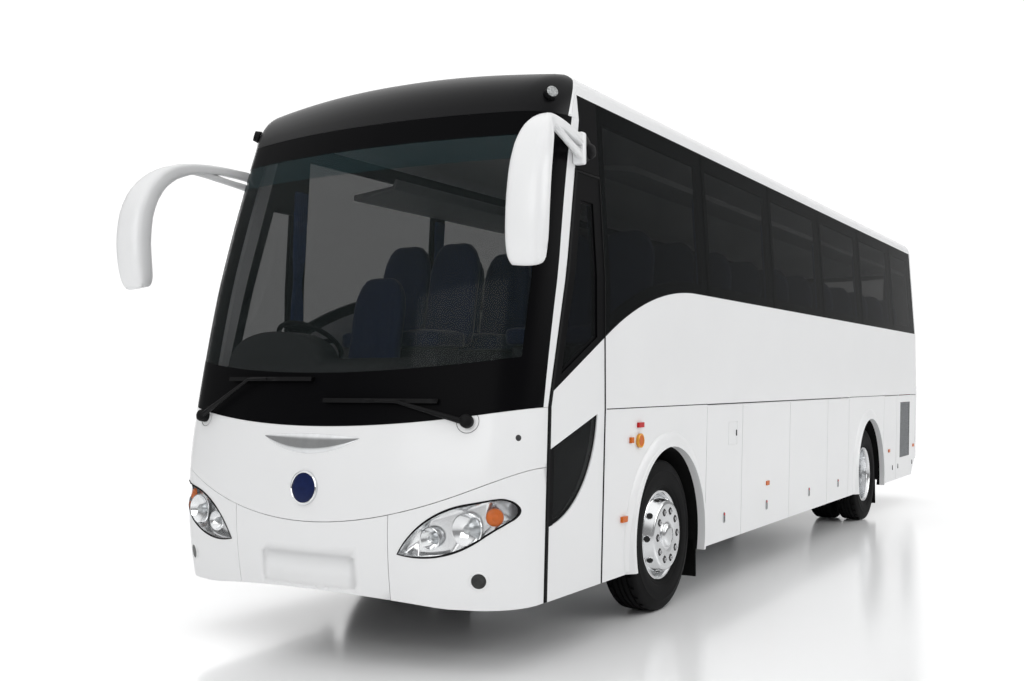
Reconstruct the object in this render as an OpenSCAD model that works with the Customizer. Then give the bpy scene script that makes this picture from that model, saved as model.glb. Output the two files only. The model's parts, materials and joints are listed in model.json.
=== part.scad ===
// Single-deck coach: raised passenger deck over a luggage bay, plug door ahead of the front axle, twin rear wheels.
// Modules are drawn with x to the coach's left, z up from the ground and y backwards from the front axle.
// place() then moves them so that the origin lies on the ground under the middle of the whole.

/* [Body] */
// Distance from the bumper's face back to the front axle
front_overhang = 2290; // [2270:10:2500]
// Distance between the axles
wheelbase = 5800; // [5200:10:6400]
// Distance from the rear axle back to the rear wall
rear_overhang = 2850; // [2600:10:3100]
// Width over the waist panels
body_w = 2500; // [2460:10:2550]
// Height of the roof's crown
roof_h = 3450; // [3300:10:3600]
// Thickness of walls, flaps and door
wall = 40; // [36:1:50]
// Height of the skirt's lower edge
skirt_z = 340; // [310:5:370]
// Height of the seam above the flaps
seam_z = 1385; // [1360:5:1410]
// Share of the height between the seam and the crown that lies below the side glass
waist_share = 0.385; // [0.36:0.005:0.41]
// Inward tuck of the skirt's lower edge
skirt_tuck = 30; // [10:1:45]
// Inward lean of the side glass at its top
glass_lean = 62; // [30:1:80]
// Gap round each moving panel
panel_gap = 8; // [6:1:12]
// Width of the groove between fixed panels
seam_w = 4; // [2:0.5:6]
// Thickness of window glass
glass_t = 10; // [6:1:14]

/* [Front] */
// Radius of the nose seen from above
nose_r = 3400; // [3000:50:4200]
// Radius of the front corners seen from above
corner_r = 320; // [280:5:330]
// Radius of the nose seen from the side
bow_r = 2200; // [1800:50:3000]
// Height of the nose's foremost point
nose_z = 800; // [700:10:900]
// Thickness of the front panels
front_t = 30; // [24:1:40]
// Height of the windscreen's lower edge at the middle
screen_z = 1300; // [1260:10:1340]
// Rise of the windscreen's lower edge to the corners
screen_rise = 110; // [60:5:140]
// Drop from the crown to the windscreen's upper edge
head_drop = 350; // [310:10:400]
// Lean of the windscreen at its lower edge
screen_lean = 10.5; // [9:0.5:12]
// Radius of the windscreen seen from the side
screen_r = 12000; // [10000:500:20000]
// Height of the bumper's seam at the middle
smile_z = 770; // [740:5:820]
// Rise of the bumper's seam to the sides
smile_rise = 310; // [250:10:360]
// Rise of the bumper's lower edge at the middle
lip_rise = 50; // [0:5:80]
// Length, height and turn of the headlamps
lamp_size = [675, 225, 24];
// Place of the headlamps in from the side and up
lamp_in = [340, 762];
// Radius of the fog lamps
fog_r = 42; // [30:1:50]
// Place of the fog lamps in from the side and up
fog_in = [210, 500];
// Height of the air conditioner above the crown
pod_h = 150; // [120:5:200]
// Reach of the mirrors ahead of the bumper
mirror_reach = 60; // [40:5:120]

/* [Door and flaps] */
// Distance of the doorway's front edge behind the bumper's face
door_set = 565; // [555:5:580]
// Width of the doorway
door_w = 720; // [690:5:740]
// Drop from the crown to the doorway's upper edge
door_drop = 655; // [630:5:700]
// Length of the door's swinging arms
arm_len = 540; // [500:10:560]
// Radius of the flaps' hinge rods
rod_r = 6; // [5:0.5:8]
// Running clearance round pins, rods and spindles
run_fit = 0.3; // [0.3:0.05:0.6]

/* [Running gear] */
// Outer diameter of the tyres
tyre_d = 1018; // [990:2:1050]
// Width of the tyres
tyre_w = 255; // [240:1:270]
// Diameter of the rims at the bead seat
rim_d = 572; // [540:2:580]
// Distance of the single and outer wheels' middle from the body's side
wheel_in = 180; // [170:5:190]
// Distance between the middles of twin wheels
twin_pitch = 300; // [295:5:315]
// Distance of the kingpins from the front wheels' middle
kingpin_in = 170; // [160:5:180]
// Radius of the front wheel arches
front_arch_r = 600; // [590:5:620]
// Radius of the rear wheel arches
rear_arch_r = 620; // [600:5:640]

/* [Cabin] */
// Height of the passenger deck
deck_z = 1440; // [1430:5:1460]
// Height of the driver's platform
platform_z = 900; // [880:5:920]
// Spacing of the seat rows
seat_pitch = 780; // [740:10:790]
// Width of one seat
seat_w = 430; // [400:5:450]

/* [Hidden] */
$fn = 128;
fit = 0.3;
half_w = body_w / 2;
rear_y = wheelbase + rear_overhang;
rear_side = 260;
rear_edge = rear_y - rear_side;
axle_z = tyre_d / 2;
front_axle_y = (front_overhang + mirror_reach - rear_y) / 2;
top_w = half_w - glass_lean;
glass_z = seam_z + waist_share * (roof_h - seam_z);
head_z = roof_h - head_drop;
door_front = front_overhang - door_set;
door_rear = door_front - door_w;
door_top = roof_h - door_drop;
nose_in = -front_overhang + 390;
wheel_x = half_w - wheel_in;
kingpin_x = wheel_x - kingpin_in;
roof_r = 9000;
cove_r = 120;
roof_tail = 20;
rear_r = 60000;
rear_corner_r = 200;
pillar_z = screen_z + screen_rise;
pillar_lean = 15.9;
band_u = 0.9;
arc_u = 0.6;
side_u = 0.92;
bumper_u = 0.325;
plate_u = 0.195;
plate_z = [415, 590];
plate_in = 12;
u_len = 1700;
swoosh_y = 500;
swoosh_r = 3300;
swoosh_run = 1450;
pane_y = 750;
pane_count = 5;
last_pane = 1240;
pane_pitch = (rear_edge - last_pane - pane_y) / (pane_count - 1);
arch_lip = 90;
lip_out = 18;
hinge_in = 16;
hinge_drop = 22;
hinge_z = seam_z - hinge_drop;
barrel_r = 14;
post_x = half_w - 130;
post_y = -door_front + 105;
pivot_y = post_y + arm_len;
lid_w = body_w - 900;
lid_z = [800, 1690];
bay_z = 400;
bay_w = half_w - 100;
bay_wall = 30;
rail_w = 70;
tow_w = 60;
tow_r = 22;
deck_t = 50;
bay_front = 715;
bay_rear = wheelbase - 885;
riser_y = -door_rear + 25;
driver_z = platform_z + 220;
plinth_x = -370;

// Edges of the flaps between the arches and behind the rear one, as distances from the front axle
flap_edge = [710, 1500, wheelbase - 910];
tail_edge = [wheelbase + 750, rear_edge];
function bay_share(k) = mix(flap_edge[1], flap_edge[2], k);
tail_split = mix(tail_edge[0], tail_edge[1], 0.38);

// Flaps of one side: front edge, rear edge, name
FLAPS = [
    [flap_edge[0], flap_edge[1], "1"], [flap_edge[1], bay_share(0.378), "2"],
    [bay_share(0.378), bay_share(0.752), "3"], [bay_share(0.752), flap_edge[2], "4"],
    [tail_edge[0], tail_split, "5"], [tail_split, tail_edge[1], "6"]];
SIDES = [[1, "left"], [-1, "right"]];

function mix(a, b, t) = a + (b - a) * t;

// Half width of the body's outer face at a height
function side_x(z) =
    z < seam_z ? half_w - skirt_tuck * (seam_z - z) / (seam_z - skirt_z)
    : z < glass_z ? half_w
    : half_w - glass_lean * (z - glass_z) / (roof_z - glass_z);

// A rounded section: a wide arc, a corner arc and a straight tail. u runs from 0 at the middle to 1 at the end.
function corner_angle(w, r, c) = asin((w - c) / (r - c));
function section_end(w, r, c) =
    let (a = corner_angle(w, r, c)) r * (1 - cos(a)) + c * cos(a);
function section(u, w, r, c, tail) =
    let (a = corner_angle(w, r, c), sag = r * (1 - cos(a)))
    u <= arc_u ? [r * sin(a * u / arc_u), r * (1 - cos(a * u / arc_u))]
    : u <= side_u ?
        let (b = mix(a, 90, (u - arc_u) / (side_u - arc_u)))
        [w - c + c * sin(b), sag + c * (cos(a) - cos(b))]
    : [w, sag + c * cos(a) + tail * (u - side_u) / (1 - side_u)];

roof_z = roof_h - section_end(top_w, roof_r, cove_r) - roof_tail;

// Profile of the nose and windscreen seen from the side
function bow(z) = bow_r - sqrt(bow_r * bow_r - pow(z - nose_z, 2));
function tilt(z) = asin(sin(screen_lean) + (z - screen_z) / screen_r);
function nose_y(z) = z <= screen_z ? bow(z) - front_overhang
    : bow(screen_z) - front_overhang + screen_r * (cos(screen_lean) - cos(tilt(z)));

// Front edge of the sides: upright below the windscreen, then leaning back with the pillar
function pillar_y(z) = -door_front + (z < pillar_z ? 0 : (z - pillar_z) * tan(pillar_lean));
function tail(z) = max(0, pillar_y(z) - nose_y(z) - section_end(side_x(z), nose_r, corner_r));
function front_pt(z, u, i) =
    let (p = section(abs(u), side_x(z) - i, nose_r - i, corner_r - i, tail(z)))
    [sign(u) * p[0], nose_y(z) + i + p[1], z];

// A section point laid between the section's middle (a) and its end (e), both in the yz plane
function loft_pt(u, i, w, r, c, tail, a, e) =
    let (
        p = section(abs(u), w - i, r - i, c - i, tail),
        q = mix(a, e, p[1] / (section_end(w - i, r - i, c - i) + tail)))
    [sign(u) * p[0], q[0], q[1]];

// The dome turns the windscreen's section into the roof's
dome_r = (roof_h - head_z) / (1 - sin(tilt(head_z)));
dome_y = nose_y(head_z) + dome_r * cos(tilt(head_z));
function dome_pt(k, u, i) = loft_pt(
    u, i,
    mix(side_x(head_z), top_w, k), 1 / mix(1 / nose_r, 1 / roof_r, k), mix(corner_r, cove_r, k),
    mix(tail(head_z), roof_tail, k),
    let (t = mix(tilt(head_z), 90, k))
        [dome_y - dome_r * cos(t) + i * cos(90 * k), roof_h - dome_r + dome_r * sin(t) - i * sin(90 * k)],
    mix([pillar_y(head_z), head_z], [dome_y, roof_z], k));

// The rear cap turns the rear wall's section into the roof's
cap_z = roof_h - rear_side;
rear_tail = rear_side - section_end(half_w, rear_r, rear_corner_r);
function cap_pt(k, u, i) = loft_pt(
    u, i,
    mix(side_x(cap_z), top_w, k), 1 / mix(1 / rear_r, 1 / roof_r, k), mix(rear_corner_r, cove_r, k),
    mix(rear_tail, roof_tail, k),
    [rear_edge + (rear_side - i) * cos(90 * k), cap_z + (rear_side - i) * sin(90 * k)],
    mix([rear_edge, cap_z], [rear_edge, roof_z], k));

// Edges of the front panels, across the section
function across(u) = section(abs(u), half_w, nose_r, corner_r, 0)[0];
function lip(u) = skirt_z + lip_rise * max(0, 1 - pow(u / 0.5, 2));
function smile(u) = smile_z + smile_rise * pow(across(u) / half_w, 2);
function sill(u) = screen_z + screen_rise * pow(across(u) / half_w, 2);

// Lower edge of the black glazing: level, then an arc and a straight run down to the door
function swoosh(y) =
    let (d = min(swoosh_y - y, swoosh_run), over = max(0, swoosh_y - y - swoosh_run))
    y > swoosh_y ? glass_z
    : max(seam_z + 40,
        glass_z - swoosh_r + sqrt(swoosh_r * swoosh_r - d * d) - over * tan(asin(swoosh_run / swoosh_r)));

module place() {
    translate([0, front_axle_y, 0])
        children();
}

module on_side(s) {
    if (s > 0) {
        children();
    } else {
        mirror([1, 0, 0])
            children();
    }
}

// Plates cut from an outline in the yz, xz or xy plane
module yz(x0, x1) {
    translate([x0, 0, 0])
        rotate([90, 0, 90])
            linear_extrude(x1 - x0)
                children();
}

module xz(y0, y1) {
    translate([0, y1, 0])
        rotate([90, 0, 0])
            linear_extrude(y1 - y0)
                children();
}

module xy(z0, z1) {
    translate([0, 0, z0])
        linear_extrude(z1 - z0)
            children();
}

module box(low, high) {
    translate(low)
        cube(high - low);
}

module rod_x(x0, x1, r, y, z) {
    translate([x0, y, z])
        rotate([0, 90, 0])
            cylinder(r = r, h = x1 - x0);
}

module rod_y(y0, y1, r, x, z) {
    translate([x, y1, z])
        rotate([90, 0, 0])
            cylinder(r = r, h = y1 - y0);
}

// A thick skin over a grid of points: outer points, then inner ones
function skin_faces(nu, nv) =
    let (m = nv + 1, n = (nu + 1) * m)
    concat(
        [for (i = [0:nu - 1], j = [0:nv - 1]) let (a = i * m + j)
            each [[a, a + 1, a + m + 1], [a, a + m + 1, a + m]]],
        [for (i = [0:nu - 1], j = [0:nv - 1]) let (a = n + i * m + j)
            each [[a, a + m + 1, a + 1], [a, a + m, a + m + 1]]],
        [for (i = [0:nu - 1]) let (a = i * m, b = a + m) each [[a, b, n + b], [a, n + b, n + a]]],
        [for (i = [0:nu - 1]) let (d = i * m + nv, c = d + m) each [[c, d, n + d], [c, n + d, n + c]]],
        [for (j = [0:nv - 1]) let (a = j, d = j + 1) each [[d, a, n + a], [d, n + a, n + d]]],
        [for (j = [0:nv - 1]) let (b = nu * m + j, c = b + 1) each [[b, c, n + c], [b, n + c, n + b]]]);

// A skin of the front between two section places and two edges. Its outer face stops half a seam short of each edge.
module front_skin(u0, u1, low, high, t, nu, nv, seam = seam_w, out = 0) {
    function grid(i, e) = [
        for (a = [0:nu], b = [0:nv])
            let (u = mix(u0 + e / u_len, u1 - e / u_len, a / nu))
            front_pt(mix(low(u) + e, high(u) - e, b / nv), u, i)];
    polyhedron(concat(grid(out, seam / 2), grid(t, fit / 2)), skin_faces(nu, nv));
}

module dome_skin(u0, u1, t, nu, nv) {
    function grid(i, e) = [
        for (a = [0:nu], b = [0:nv])
            dome_pt(mix(e / dome_r, 1 - e / dome_r, b / nv), mix(u0 + e / u_len, u1 - e / u_len, a / nu), i)];
    polyhedron(concat(grid(0, seam_w / 2), grid(t, fit / 2)), skin_faces(nu, nv));
}

// Headlamp: two arcs that meet in a point towards the middle and in a round end at the side
module headlamp_outline(grow) {
    l = lamp_size[0] / 2;
    s = lamp_size[1] / 2;
    r = (l * l + s * s) / (2 * s);
    end_r = 0.59 * s;
    end_y = l - 1.25 * end_r;
    translate([half_w - lamp_in[0], lamp_in[1]])
        rotate(lamp_size[2]) {
            intersection() {
                translate([0, s - r])
                    circle(r + grow);
                translate([0, r - s])
                    circle(r + grow);
                translate([-2 * l, -2 * s])
                    square([2 * l + end_y + end_r / 3, 4 * s]);
            }
            translate([end_y, 0])
                circle(end_r + grow);
        }
}

module lamp_cut(grow) {
    xz(-front_overhang - 20, -door_front - 50)
        headlamp_outline(grow);
}

module fog_cut(r) {
    rod_y(-front_overhang - 20, -door_front - 50, r, half_w - fog_in[0], fog_in[1]);
}

module bumper_corner(seam = seam_w, t = front_t) {
    front_skin(bumper_u, 1, function(u) lip(u), function(u) smile(u), t, 14, 6, seam);
}

module bumper() {
    color("white") {
        difference() {
            front_skin(-bumper_u, bumper_u, function(u) lip(u), function(u) smile(u), front_t, 12, 6);
            front_skin(
                -plate_u, plate_u, function(u) plate_z[0], function(u) plate_z[1], plate_in, 12, 2, 0, -plate_in);
        }
        for (s = [1, -1])
            on_side(s)
                difference() {
                    bumper_corner();
                    lamp_cut(0);
                    fog_cut(fog_r);
                }
    }
}

module headlamps() {
    color("lightgray")
        for (s = [1, -1])
            on_side(s)
                intersection() {
                    bumper_corner(0, 2 * front_t);
                    lamp_cut(-2 * fit);
                }
}

// A short round lamp that stands on the dome
module marker_lamp(k, u) {
    foot = dome_pt(k, u, 0);
    out = (foot - dome_pt(k, u, 20)) / 20;
    translate(foot + fit * out)
        rotate([0, acos(out[2]), atan2(out[1], out[0])])
            cylinder(r1 = 42, r2 = 34, h = 40);
}

module fog_lamps() {
    color("lightgray")
        for (s = [1, -1])
            on_side(s) {
                intersection() {
                    bumper_corner(0, 2 * front_t);
                    fog_cut(fog_r - 2 * fit);
                }
                marker_lamp(0.3, 0.74);
            }
}

module front_panel() {
    color("white")
        front_skin(-1, 1, function(u) smile(u), function(u) sill(u), front_t, 40, 6);
}

module windscreen() {
    color([0.1, 0.15, 0.17, 0.5])
        front_skin(-band_u, band_u, function(u) sill(u), function(u) head_z, glass_t, 36, 12, fit);
}

module dome() {
    color("black")
        dome_skin(-band_u, band_u, front_t, 36, 10);
}

module corner_bands() {
    color("white")
        for (s = [1, -1])
            on_side(s) {
                front_skin(band_u, 1, function(u) sill(u), function(u) head_z, wall, 4, 12, fit);
                dome_skin(band_u, 1, wall, 4, 8);
            }
}

function roof_points(i) = [
    for (a = [-20:20]) let (u = a / 20, p = section(abs(u), top_w - i, roof_r - i, cove_r - i, roof_tail))
        [sign(u) * p[0], roof_h - i - p[1]]];

module roof() {
    n = 41;
    color("white") {
        xz(dome_y + fit, rear_edge)
            polygon(concat(roof_points(0), [for (p = roof_points(wall)) p]),
                [concat([for (a = [0:n - 1]) a], [for (a = [0:n - 1]) 2 * n - 1 - a])]);
        cap_skin(wall, 32, 8);
        for (y = [-100, wheelbase + 300])
            roof_box(350, y, y + 700, 35, 20, 30, 30);
    }
}

module cap_skin(t, nu, nv) {
    function grid(i, e) = [
        for (a = [0:nu], b = [0:nv]) cap_pt(mix(e / rear_side, 1 - e / rear_side, b / nv), mix(1, -1, a / nu), i)];
    polyhedron(concat(grid(0, seam_w / 2), grid(t, fit / 2)), skin_faces(nu, nv));
}

// Height of the roof's outer face at a distance from the centre line
function crown(x) = roof_h + fit - roof_r + sqrt(roof_r * roof_r - x * x);

// A lidded box that follows the roof's curve: half width, front, rear, height over the crown, bevels
module roof_box(w, y0, y1, h, side, front, back) {
    intersection() {
        xz(y0, y1)
            polygon(concat(
                [for (a = [-8:8]) [w * a / 8, crown(w * a / 8)]],
                [[w, crown(w) + h / 2], [w - side, roof_h + h], [side - w, roof_h + h], [-w, crown(w) + h / 2]]));
        yz(-w, w)
            polygon([[y0, crown(w) - 10], [y1, crown(w) - 10], [y1 - back, roof_h + h], [y0 + front, roof_h + h]]);
    }
}

pod = [half_w - 490, 900, 3700];
fan_r = 210;
fan_pitch = 620;

module air_conditioner() {
    color("whitesmoke")
        difference() {
            roof_box(pod[0], pod[1], pod[2], pod_h, 110, 180, 300);
            for (x = [-0.5, 0.5], k = [-1, 0, 1])
                translate([x * fan_pitch, (pod[1] + pod[2]) / 2 - 60 + k * fan_pitch, roof_h + pod_h - 30])
                    cylinder(r = fan_r, h = 31);
        }
}

// Outline of a side layer between two insets from the outer face
function side_levels(z0, z1) = concat([z0], [for (z = [seam_z, glass_z]) if (z > z0 && z < z1) z], [z1]);

module layer_outline(a, b, z0, z1) {
    levels = side_levels(z0, z1);
    n = len(levels);
    polygon(concat(
        [for (z = levels) [side_x(z) - a, z]],
        [for (k = [n - 1:-1:0]) [side_x(levels[k]) - b, levels[k]]]));
}

// A piece of the side: an outline in the yz plane, taken through a layer of the wall
module side_piece(a, b, z0, z1) {
    intersection() {
        xz(-front_overhang, rear_y)
            layer_outline(a, b, z0, z1);
        yz(half_w - 400, half_w + 100)
            children();
    }
}

swoosh_stops = [for (k = [0:24]) mix(swoosh_y - 2400, swoosh_y, k / 24)];
function swoosh_line(y0, y1, up) = [
    for (y = concat([y0], [for (y = swoosh_stops) if (y > y0 && y < y1) y], [y1])) [y, swoosh(y) + up]];

// Everything behind the front edge of the sides
module behind_pillar() {
    polygon([
        [pillar_y(0) + fit, 0], [rear_edge, 0], [rear_edge, roof_z], [pillar_y(roof_z) + fit, roof_z],
        [pillar_y(pillar_z) + fit, pillar_z]]);
}

module fixed_skirt(front) {
    difference() {
        union() {
            translate([front, skirt_z])
                square([FLAPS[0][0] - panel_gap / 2 - front, seam_z - skirt_z + 1]);
            translate([FLAPS[3][1] + panel_gap / 2, skirt_z])
                square([FLAPS[4][0] - FLAPS[3][1] - panel_gap, seam_z - skirt_z + 1]);
            polygon(concat([[rear_edge, glass_z], [rear_edge, seam_z], [front, seam_z]],
                swoosh_line(front, swoosh_y, 0)));
        }
        translate([0, axle_z])
            circle(front_arch_r);
        translate([wheelbase, axle_z])
            circle(rear_arch_r);
    }
}

// Flared lip round a wheel arch
module arch_flare(y, r) {
    difference() {
        translate([half_w - wall, y, axle_z])
            rotate([0, 90, 0])
                difference() {
                    cylinder(r1 = r + arch_lip, r2 = r + arch_lip / 3, h = wall + lip_out);
                    translate([0, 0, -1])
                        cylinder(r = r, h = wall + lip_out + 2);
                }
        box([0, y - 2 * r, -r], [2 * half_w, y + 2 * r, skirt_z]);
    }
}

// Groove where a skirt meets the waist panel above it
module waist_seam(y0, y1) {
    side_piece(-1, seam_w, seam_z - seam_w, seam_z)
        translate([y0, seam_z - seam_w])
            square([y1 - y0, seam_w]);
}

module side_panel(front) {
    difference() {
        side_piece(0, wall, skirt_z, glass_z)
            intersection() {
                fixed_skirt(front);
                behind_pillar();
            }
        waist_seam(front - 1, FLAPS[0][0]);
        waist_seam(FLAPS[3][1], FLAPS[4][0]);
    }
    arch_flare(0, front_arch_r);
    arch_flare(wheelbase, rear_arch_r);
    rod_y(FLAPS[0][0] - 30, FLAPS[3][1] + 30, rod_r, half_w - hinge_in, hinge_z);
    rod_y(FLAPS[4][0] - 30, rear_edge - panel_gap, rod_r, half_w - hinge_in, hinge_z);
}

module side_panel_left() {
    color("white")
        side_panel(-door_rear);
}

module side_panel_right() {
    color("white")
        mirror([1, 0, 0])
            side_panel(-door_front + fit);
}

// Small lamps on the fixed side panels: distance from the front axle, height, half length, half height
SIDE_LAMPS = [[-500, 1272, 38, 16], [-632, 1180, 18, 18], [-720, 692, 36, 18]];
indicator = [-505, 1172, 44];

module lamp_block(l) {
    side_piece(-lip_out, -fit, skirt_z, seam_z)
        translate([l[0] - l[2], l[1] - l[3]])
            square([2 * l[2], 2 * l[3]]);
}

module side_lamps() {
    color("orange")
        for (s = [1, -1])
            on_side(s) {
                for (l = SIDE_LAMPS)
                    lamp_block(l);
                side_piece(-lip_out, -fit, skirt_z, seam_z)
                    translate([indicator[0], indicator[1]])
                        circle(indicator[2]);
            }
}

// Window bays of one side: front edge and rear edge
function bays() = concat(
    [[-door_rear, pane_y]],
    [for (k = [0:pane_count - 2]) [pane_y + k * pane_pitch, pane_y + (k + 1) * pane_pitch]],
    [[rear_edge - last_pane, rear_edge]]);

module bay_outline(b, side, low, high) {
    polygon(concat(
        swoosh_line(b[0] + side, b[1] - side, low),
        [[b[1] - side, roof_z - high], [b[0] + side, roof_z - high]]));
}

// Front bay ahead of the door's rear edge, up to the door's height
module front_bay_outline(side, low, high) {
    y1 = -door_rear - side;
    z1 = door_top - high;
    y0 = pillar_y(pillar_z) + side;
    polygon(concat(
        swoosh_line(pillar_y(swoosh(y0) + low) + side, y1, low),
        [[y1, z1], [pillar_y(z1) + side, z1]]));
}

module over_door_outline() {
    polygon([
        [pillar_y(door_top) + 2 * fit, door_top], [-door_rear, door_top], [-door_rear, roof_z - fit],
        [dome_y + 2 * fit, roof_z - fit], [pillar_y(head_z) + 2 * fit, head_z]]);
}

module window_frame(door_side) {
    side_piece(glass_t + fit, wall, seam_z, roof_z)
        difference() {
            union() {
                bay_outline([-door_rear, rear_edge], 0, fit, fit);
                over_door_outline();
                if (!door_side)
                    intersection() {
                        front_bay_outline(fit, fit, -1);
                        behind_pillar();
                    }
            }
            for (b = bays())
                bay_outline(b, 90, 80, 110);
            if (!door_side)
                front_bay_outline(80, 70, 60);
        }
    side_piece(0, wall, seam_z, roof_z)
        over_door_outline();
}

module window_frames() {
    color("black") {
        window_frame(true);
        mirror([1, 0, 0])
            window_frame(false);
    }
}

module side_glass(door_side) {
    side_piece(0, glass_t, seam_z, roof_z) {
        for (b = bays())
            bay_outline(b, seam_w / 2, fit, fit);
        if (!door_side)
            intersection() {
                front_bay_outline(seam_w / 2, fit, fit);
                behind_pillar();
            }
    }
}

module side_glass_left() {
    color([0.1, 0.12, 0.13, 0.5])
        side_glass(true);
}

module side_glass_right() {
    color([0.1, 0.12, 0.13, 0.5])
        mirror([1, 0, 0])
            side_glass(false);
}

// Rear wall: a rounded plan that narrows with the sides, from the skirt up to the cap
rear_stops = concat([1], [for (k = [0:8]) mix(side_u, arc_u, k / 8)], [0.3]);
rear_us = concat(rear_stops, [0], [for (k = [len(rear_stops) - 1:-1:0]) -rear_stops[k]]);
function rear_pt(z, u, i) = loft_pt(
    u, i, side_x(z), rear_r, rear_corner_r,
    rear_side - section_end(side_x(z), rear_r, rear_corner_r), [rear_y - i, z], [rear_edge + fit, z]);

module rear_skin(a, b) {
    levels = side_levels(skirt_z, cap_z - fit);
    points = [for (i = [a, b], u = rear_us, z = levels) rear_pt(z, u, i)];
    polyhedron(points, skin_faces(len(rear_us) - 1, len(levels) - 1));
}

rear_low = 540;
rear_window = [[400 - half_w, roof_h - 1300], [half_w - 400, roof_h - 450]];
tail_lamp = [[half_w - 250, 900], [half_w - 100, 1700]];

module rear_window_outline(grow) {
    translate(rear_window[0] - [grow, grow])
        square(rear_window[1] - rear_window[0] + 2 * [grow, grow]);
}

module tail_lamp_outline(grow) {
    translate(tail_lamp[0] - [grow, grow])
        square(tail_lamp[1] - tail_lamp[0] + 2 * [grow, grow]);
}

module rear_wall() {
    color("white") {
        difference() {
            rear_skin(0, wall);
            xz(rear_edge, rear_y + 2)
                rear_window_outline(0);
            for (s = [1, -1])
                on_side(s)
                    xz(rear_edge, rear_y + 2)
                        tail_lamp_outline(0);
            box([-lid_w / 2, rear_edge, lid_z[0]], [lid_w / 2, rear_y + 2, lid_z[1] + hinge_drop + panel_gap]);
            box([-half_w, rear_edge - 1, 0], [half_w, rear_y + 2, rear_low]);
            difference() {
                box([-half_w, rear_edge - 1, lid_z[0] - 50], [half_w, rear_y + 2, lid_z[0] - 50 + seam_w]);
                rear_skin(seam_w, wall + 1);
            }
        }
        rod_x(-lid_w / 2 - 30, lid_w / 2 + 30, rod_r, rear_y - hinge_drop, lid_z[1]);
    }
}

module rear_glass() {
    color([0.1, 0.12, 0.13, 0.5])
        intersection() {
            rear_skin(5, 5 + glass_t);
            xz(rear_edge, rear_y + 2)
                rear_window_outline(-fit);
        }
}

module tail_lamps() {
    color("firebrick")
        for (s = [1, -1])
            on_side(s)
                intersection() {
                    rear_skin(0, wall);
                    xz(rear_edge, rear_y + 2)
                        tail_lamp_outline(-fit);
                }
}

module engine_lid() {
    w = lid_w / 2 - panel_gap;
    color("white")
        difference() {
            union() {
                intersection() {
                    rear_skin(0, wall);
                    box([-w, rear_edge, lid_z[0] + panel_gap], [w, rear_y + 2, lid_z[1]]);
                }
                rod_x(-w, w, barrel_r, rear_y - hinge_drop, lid_z[1]);
            }
            rod_x(-w - 1, w + 1, rod_r + run_fit, rear_y - hinge_drop, lid_z[1]);
        }
}

// Mirror: a joint on the side, a forked arm, and a head that hangs ahead of the windscreen
mirror_z = roof_h - 540;
mirror_y = pillar_y(mirror_z) - 25;
joint = [120, 160, 70];
fork_end = 0.33;
mirror_path = [
    [side_x(mirror_z) + 42, mirror_y + 10, mirror_z + 40], [half_w + 90, nose_in - 50, mirror_z + 110],
    [half_w + 250, -front_overhang - 130, mirror_z + 50], [half_w + 160, -front_overhang + 30, mirror_z - 775]];
// Place along the arm, half width across, half depth
mirror_girths = [
    [0, 24, 30], [0.2, 24, 30], [0.34, 28, 38], [0.44, 50, 50], [0.54, 82, 62], [0.65, 101, 72], [0.76, 108, 78],
    [0.87, 110, 80], [0.95, 108, 78], [0.985, 98, 68], [1, 76, 48]];
squareness = 0.62;
function bend(p, t) =
    pow(1 - t, 3) * p[0] + 3 * t * pow(1 - t, 2) * p[1] + 3 * t * t * (1 - t) * p[2] + t * t * t * p[3];
function heading(p, t) =
    let (d = pow(1 - t, 2) * (p[1] - p[0]) + 2 * t * (1 - t) * (p[2] - p[1]) + t * t * (p[3] - p[2])) d / norm(d);
function swell(c) = sign(c) * pow(abs(c), squareness);
function ring(p, g, n) =
    let (d = heading(p, g[0]), side = cross(d, [0, d[2], -d[1]]), a = side / norm(side), b = cross(d, a))
    [for (k = [0:n - 1]) bend(p, g[0]) + a * g[1] * swell(cos(360 * k / n)) + b * g[2] * swell(sin(360 * k / n))];

// The head is moved so that it ends at the mirrors' reach, and the arm follows it
girth_n = 20;
mirror_front = min([for (g = mirror_girths, q = ring(mirror_path, g, girth_n)) q[1]]);
function follow(t) = [0, (-front_overhang - mirror_reach - mirror_front) * min(1, t / 0.6), 0];

module limb(path, girths, n) {
    rows = len(girths);
    points = [for (g = girths, q = ring(path, g, n)) q + follow(g[0])];
    polyhedron(points, concat(
        [[for (k = [0:n - 1]) k]],
        [for (r = [0:rows - 2], k = [0:n - 1]) let (a = r * n + k, b = r * n + (k + 1) % n)
            each [[a, a + n, b + n], [a, b + n, b]]],
        [[for (k = [n - 1:-1:0]) (rows - 1) * n + k]]));
}

module mirror_unit() {
    side_piece(-joint[2], -fit, mirror_z - joint[1] / 2, mirror_z + joint[1] / 2)
        translate([mirror_y, mirror_z - joint[1] / 2])
            square([joint[0], joint[1]]);
    limb(mirror_path, mirror_girths, girth_n);
    hull() {
        translate([side_x(mirror_z) + 42, mirror_y + 10, mirror_z - 50])
            sphere(r = 22, $fn = 16);
        translate(bend(mirror_path, fork_end) + follow(fork_end) - [0, 0, 14])
            sphere(r = 18, $fn = 16);
    }
}

module mirrors() {
    color("white")
        for (s = [1, -1])
            on_side(s)
                mirror_unit();
}

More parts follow.
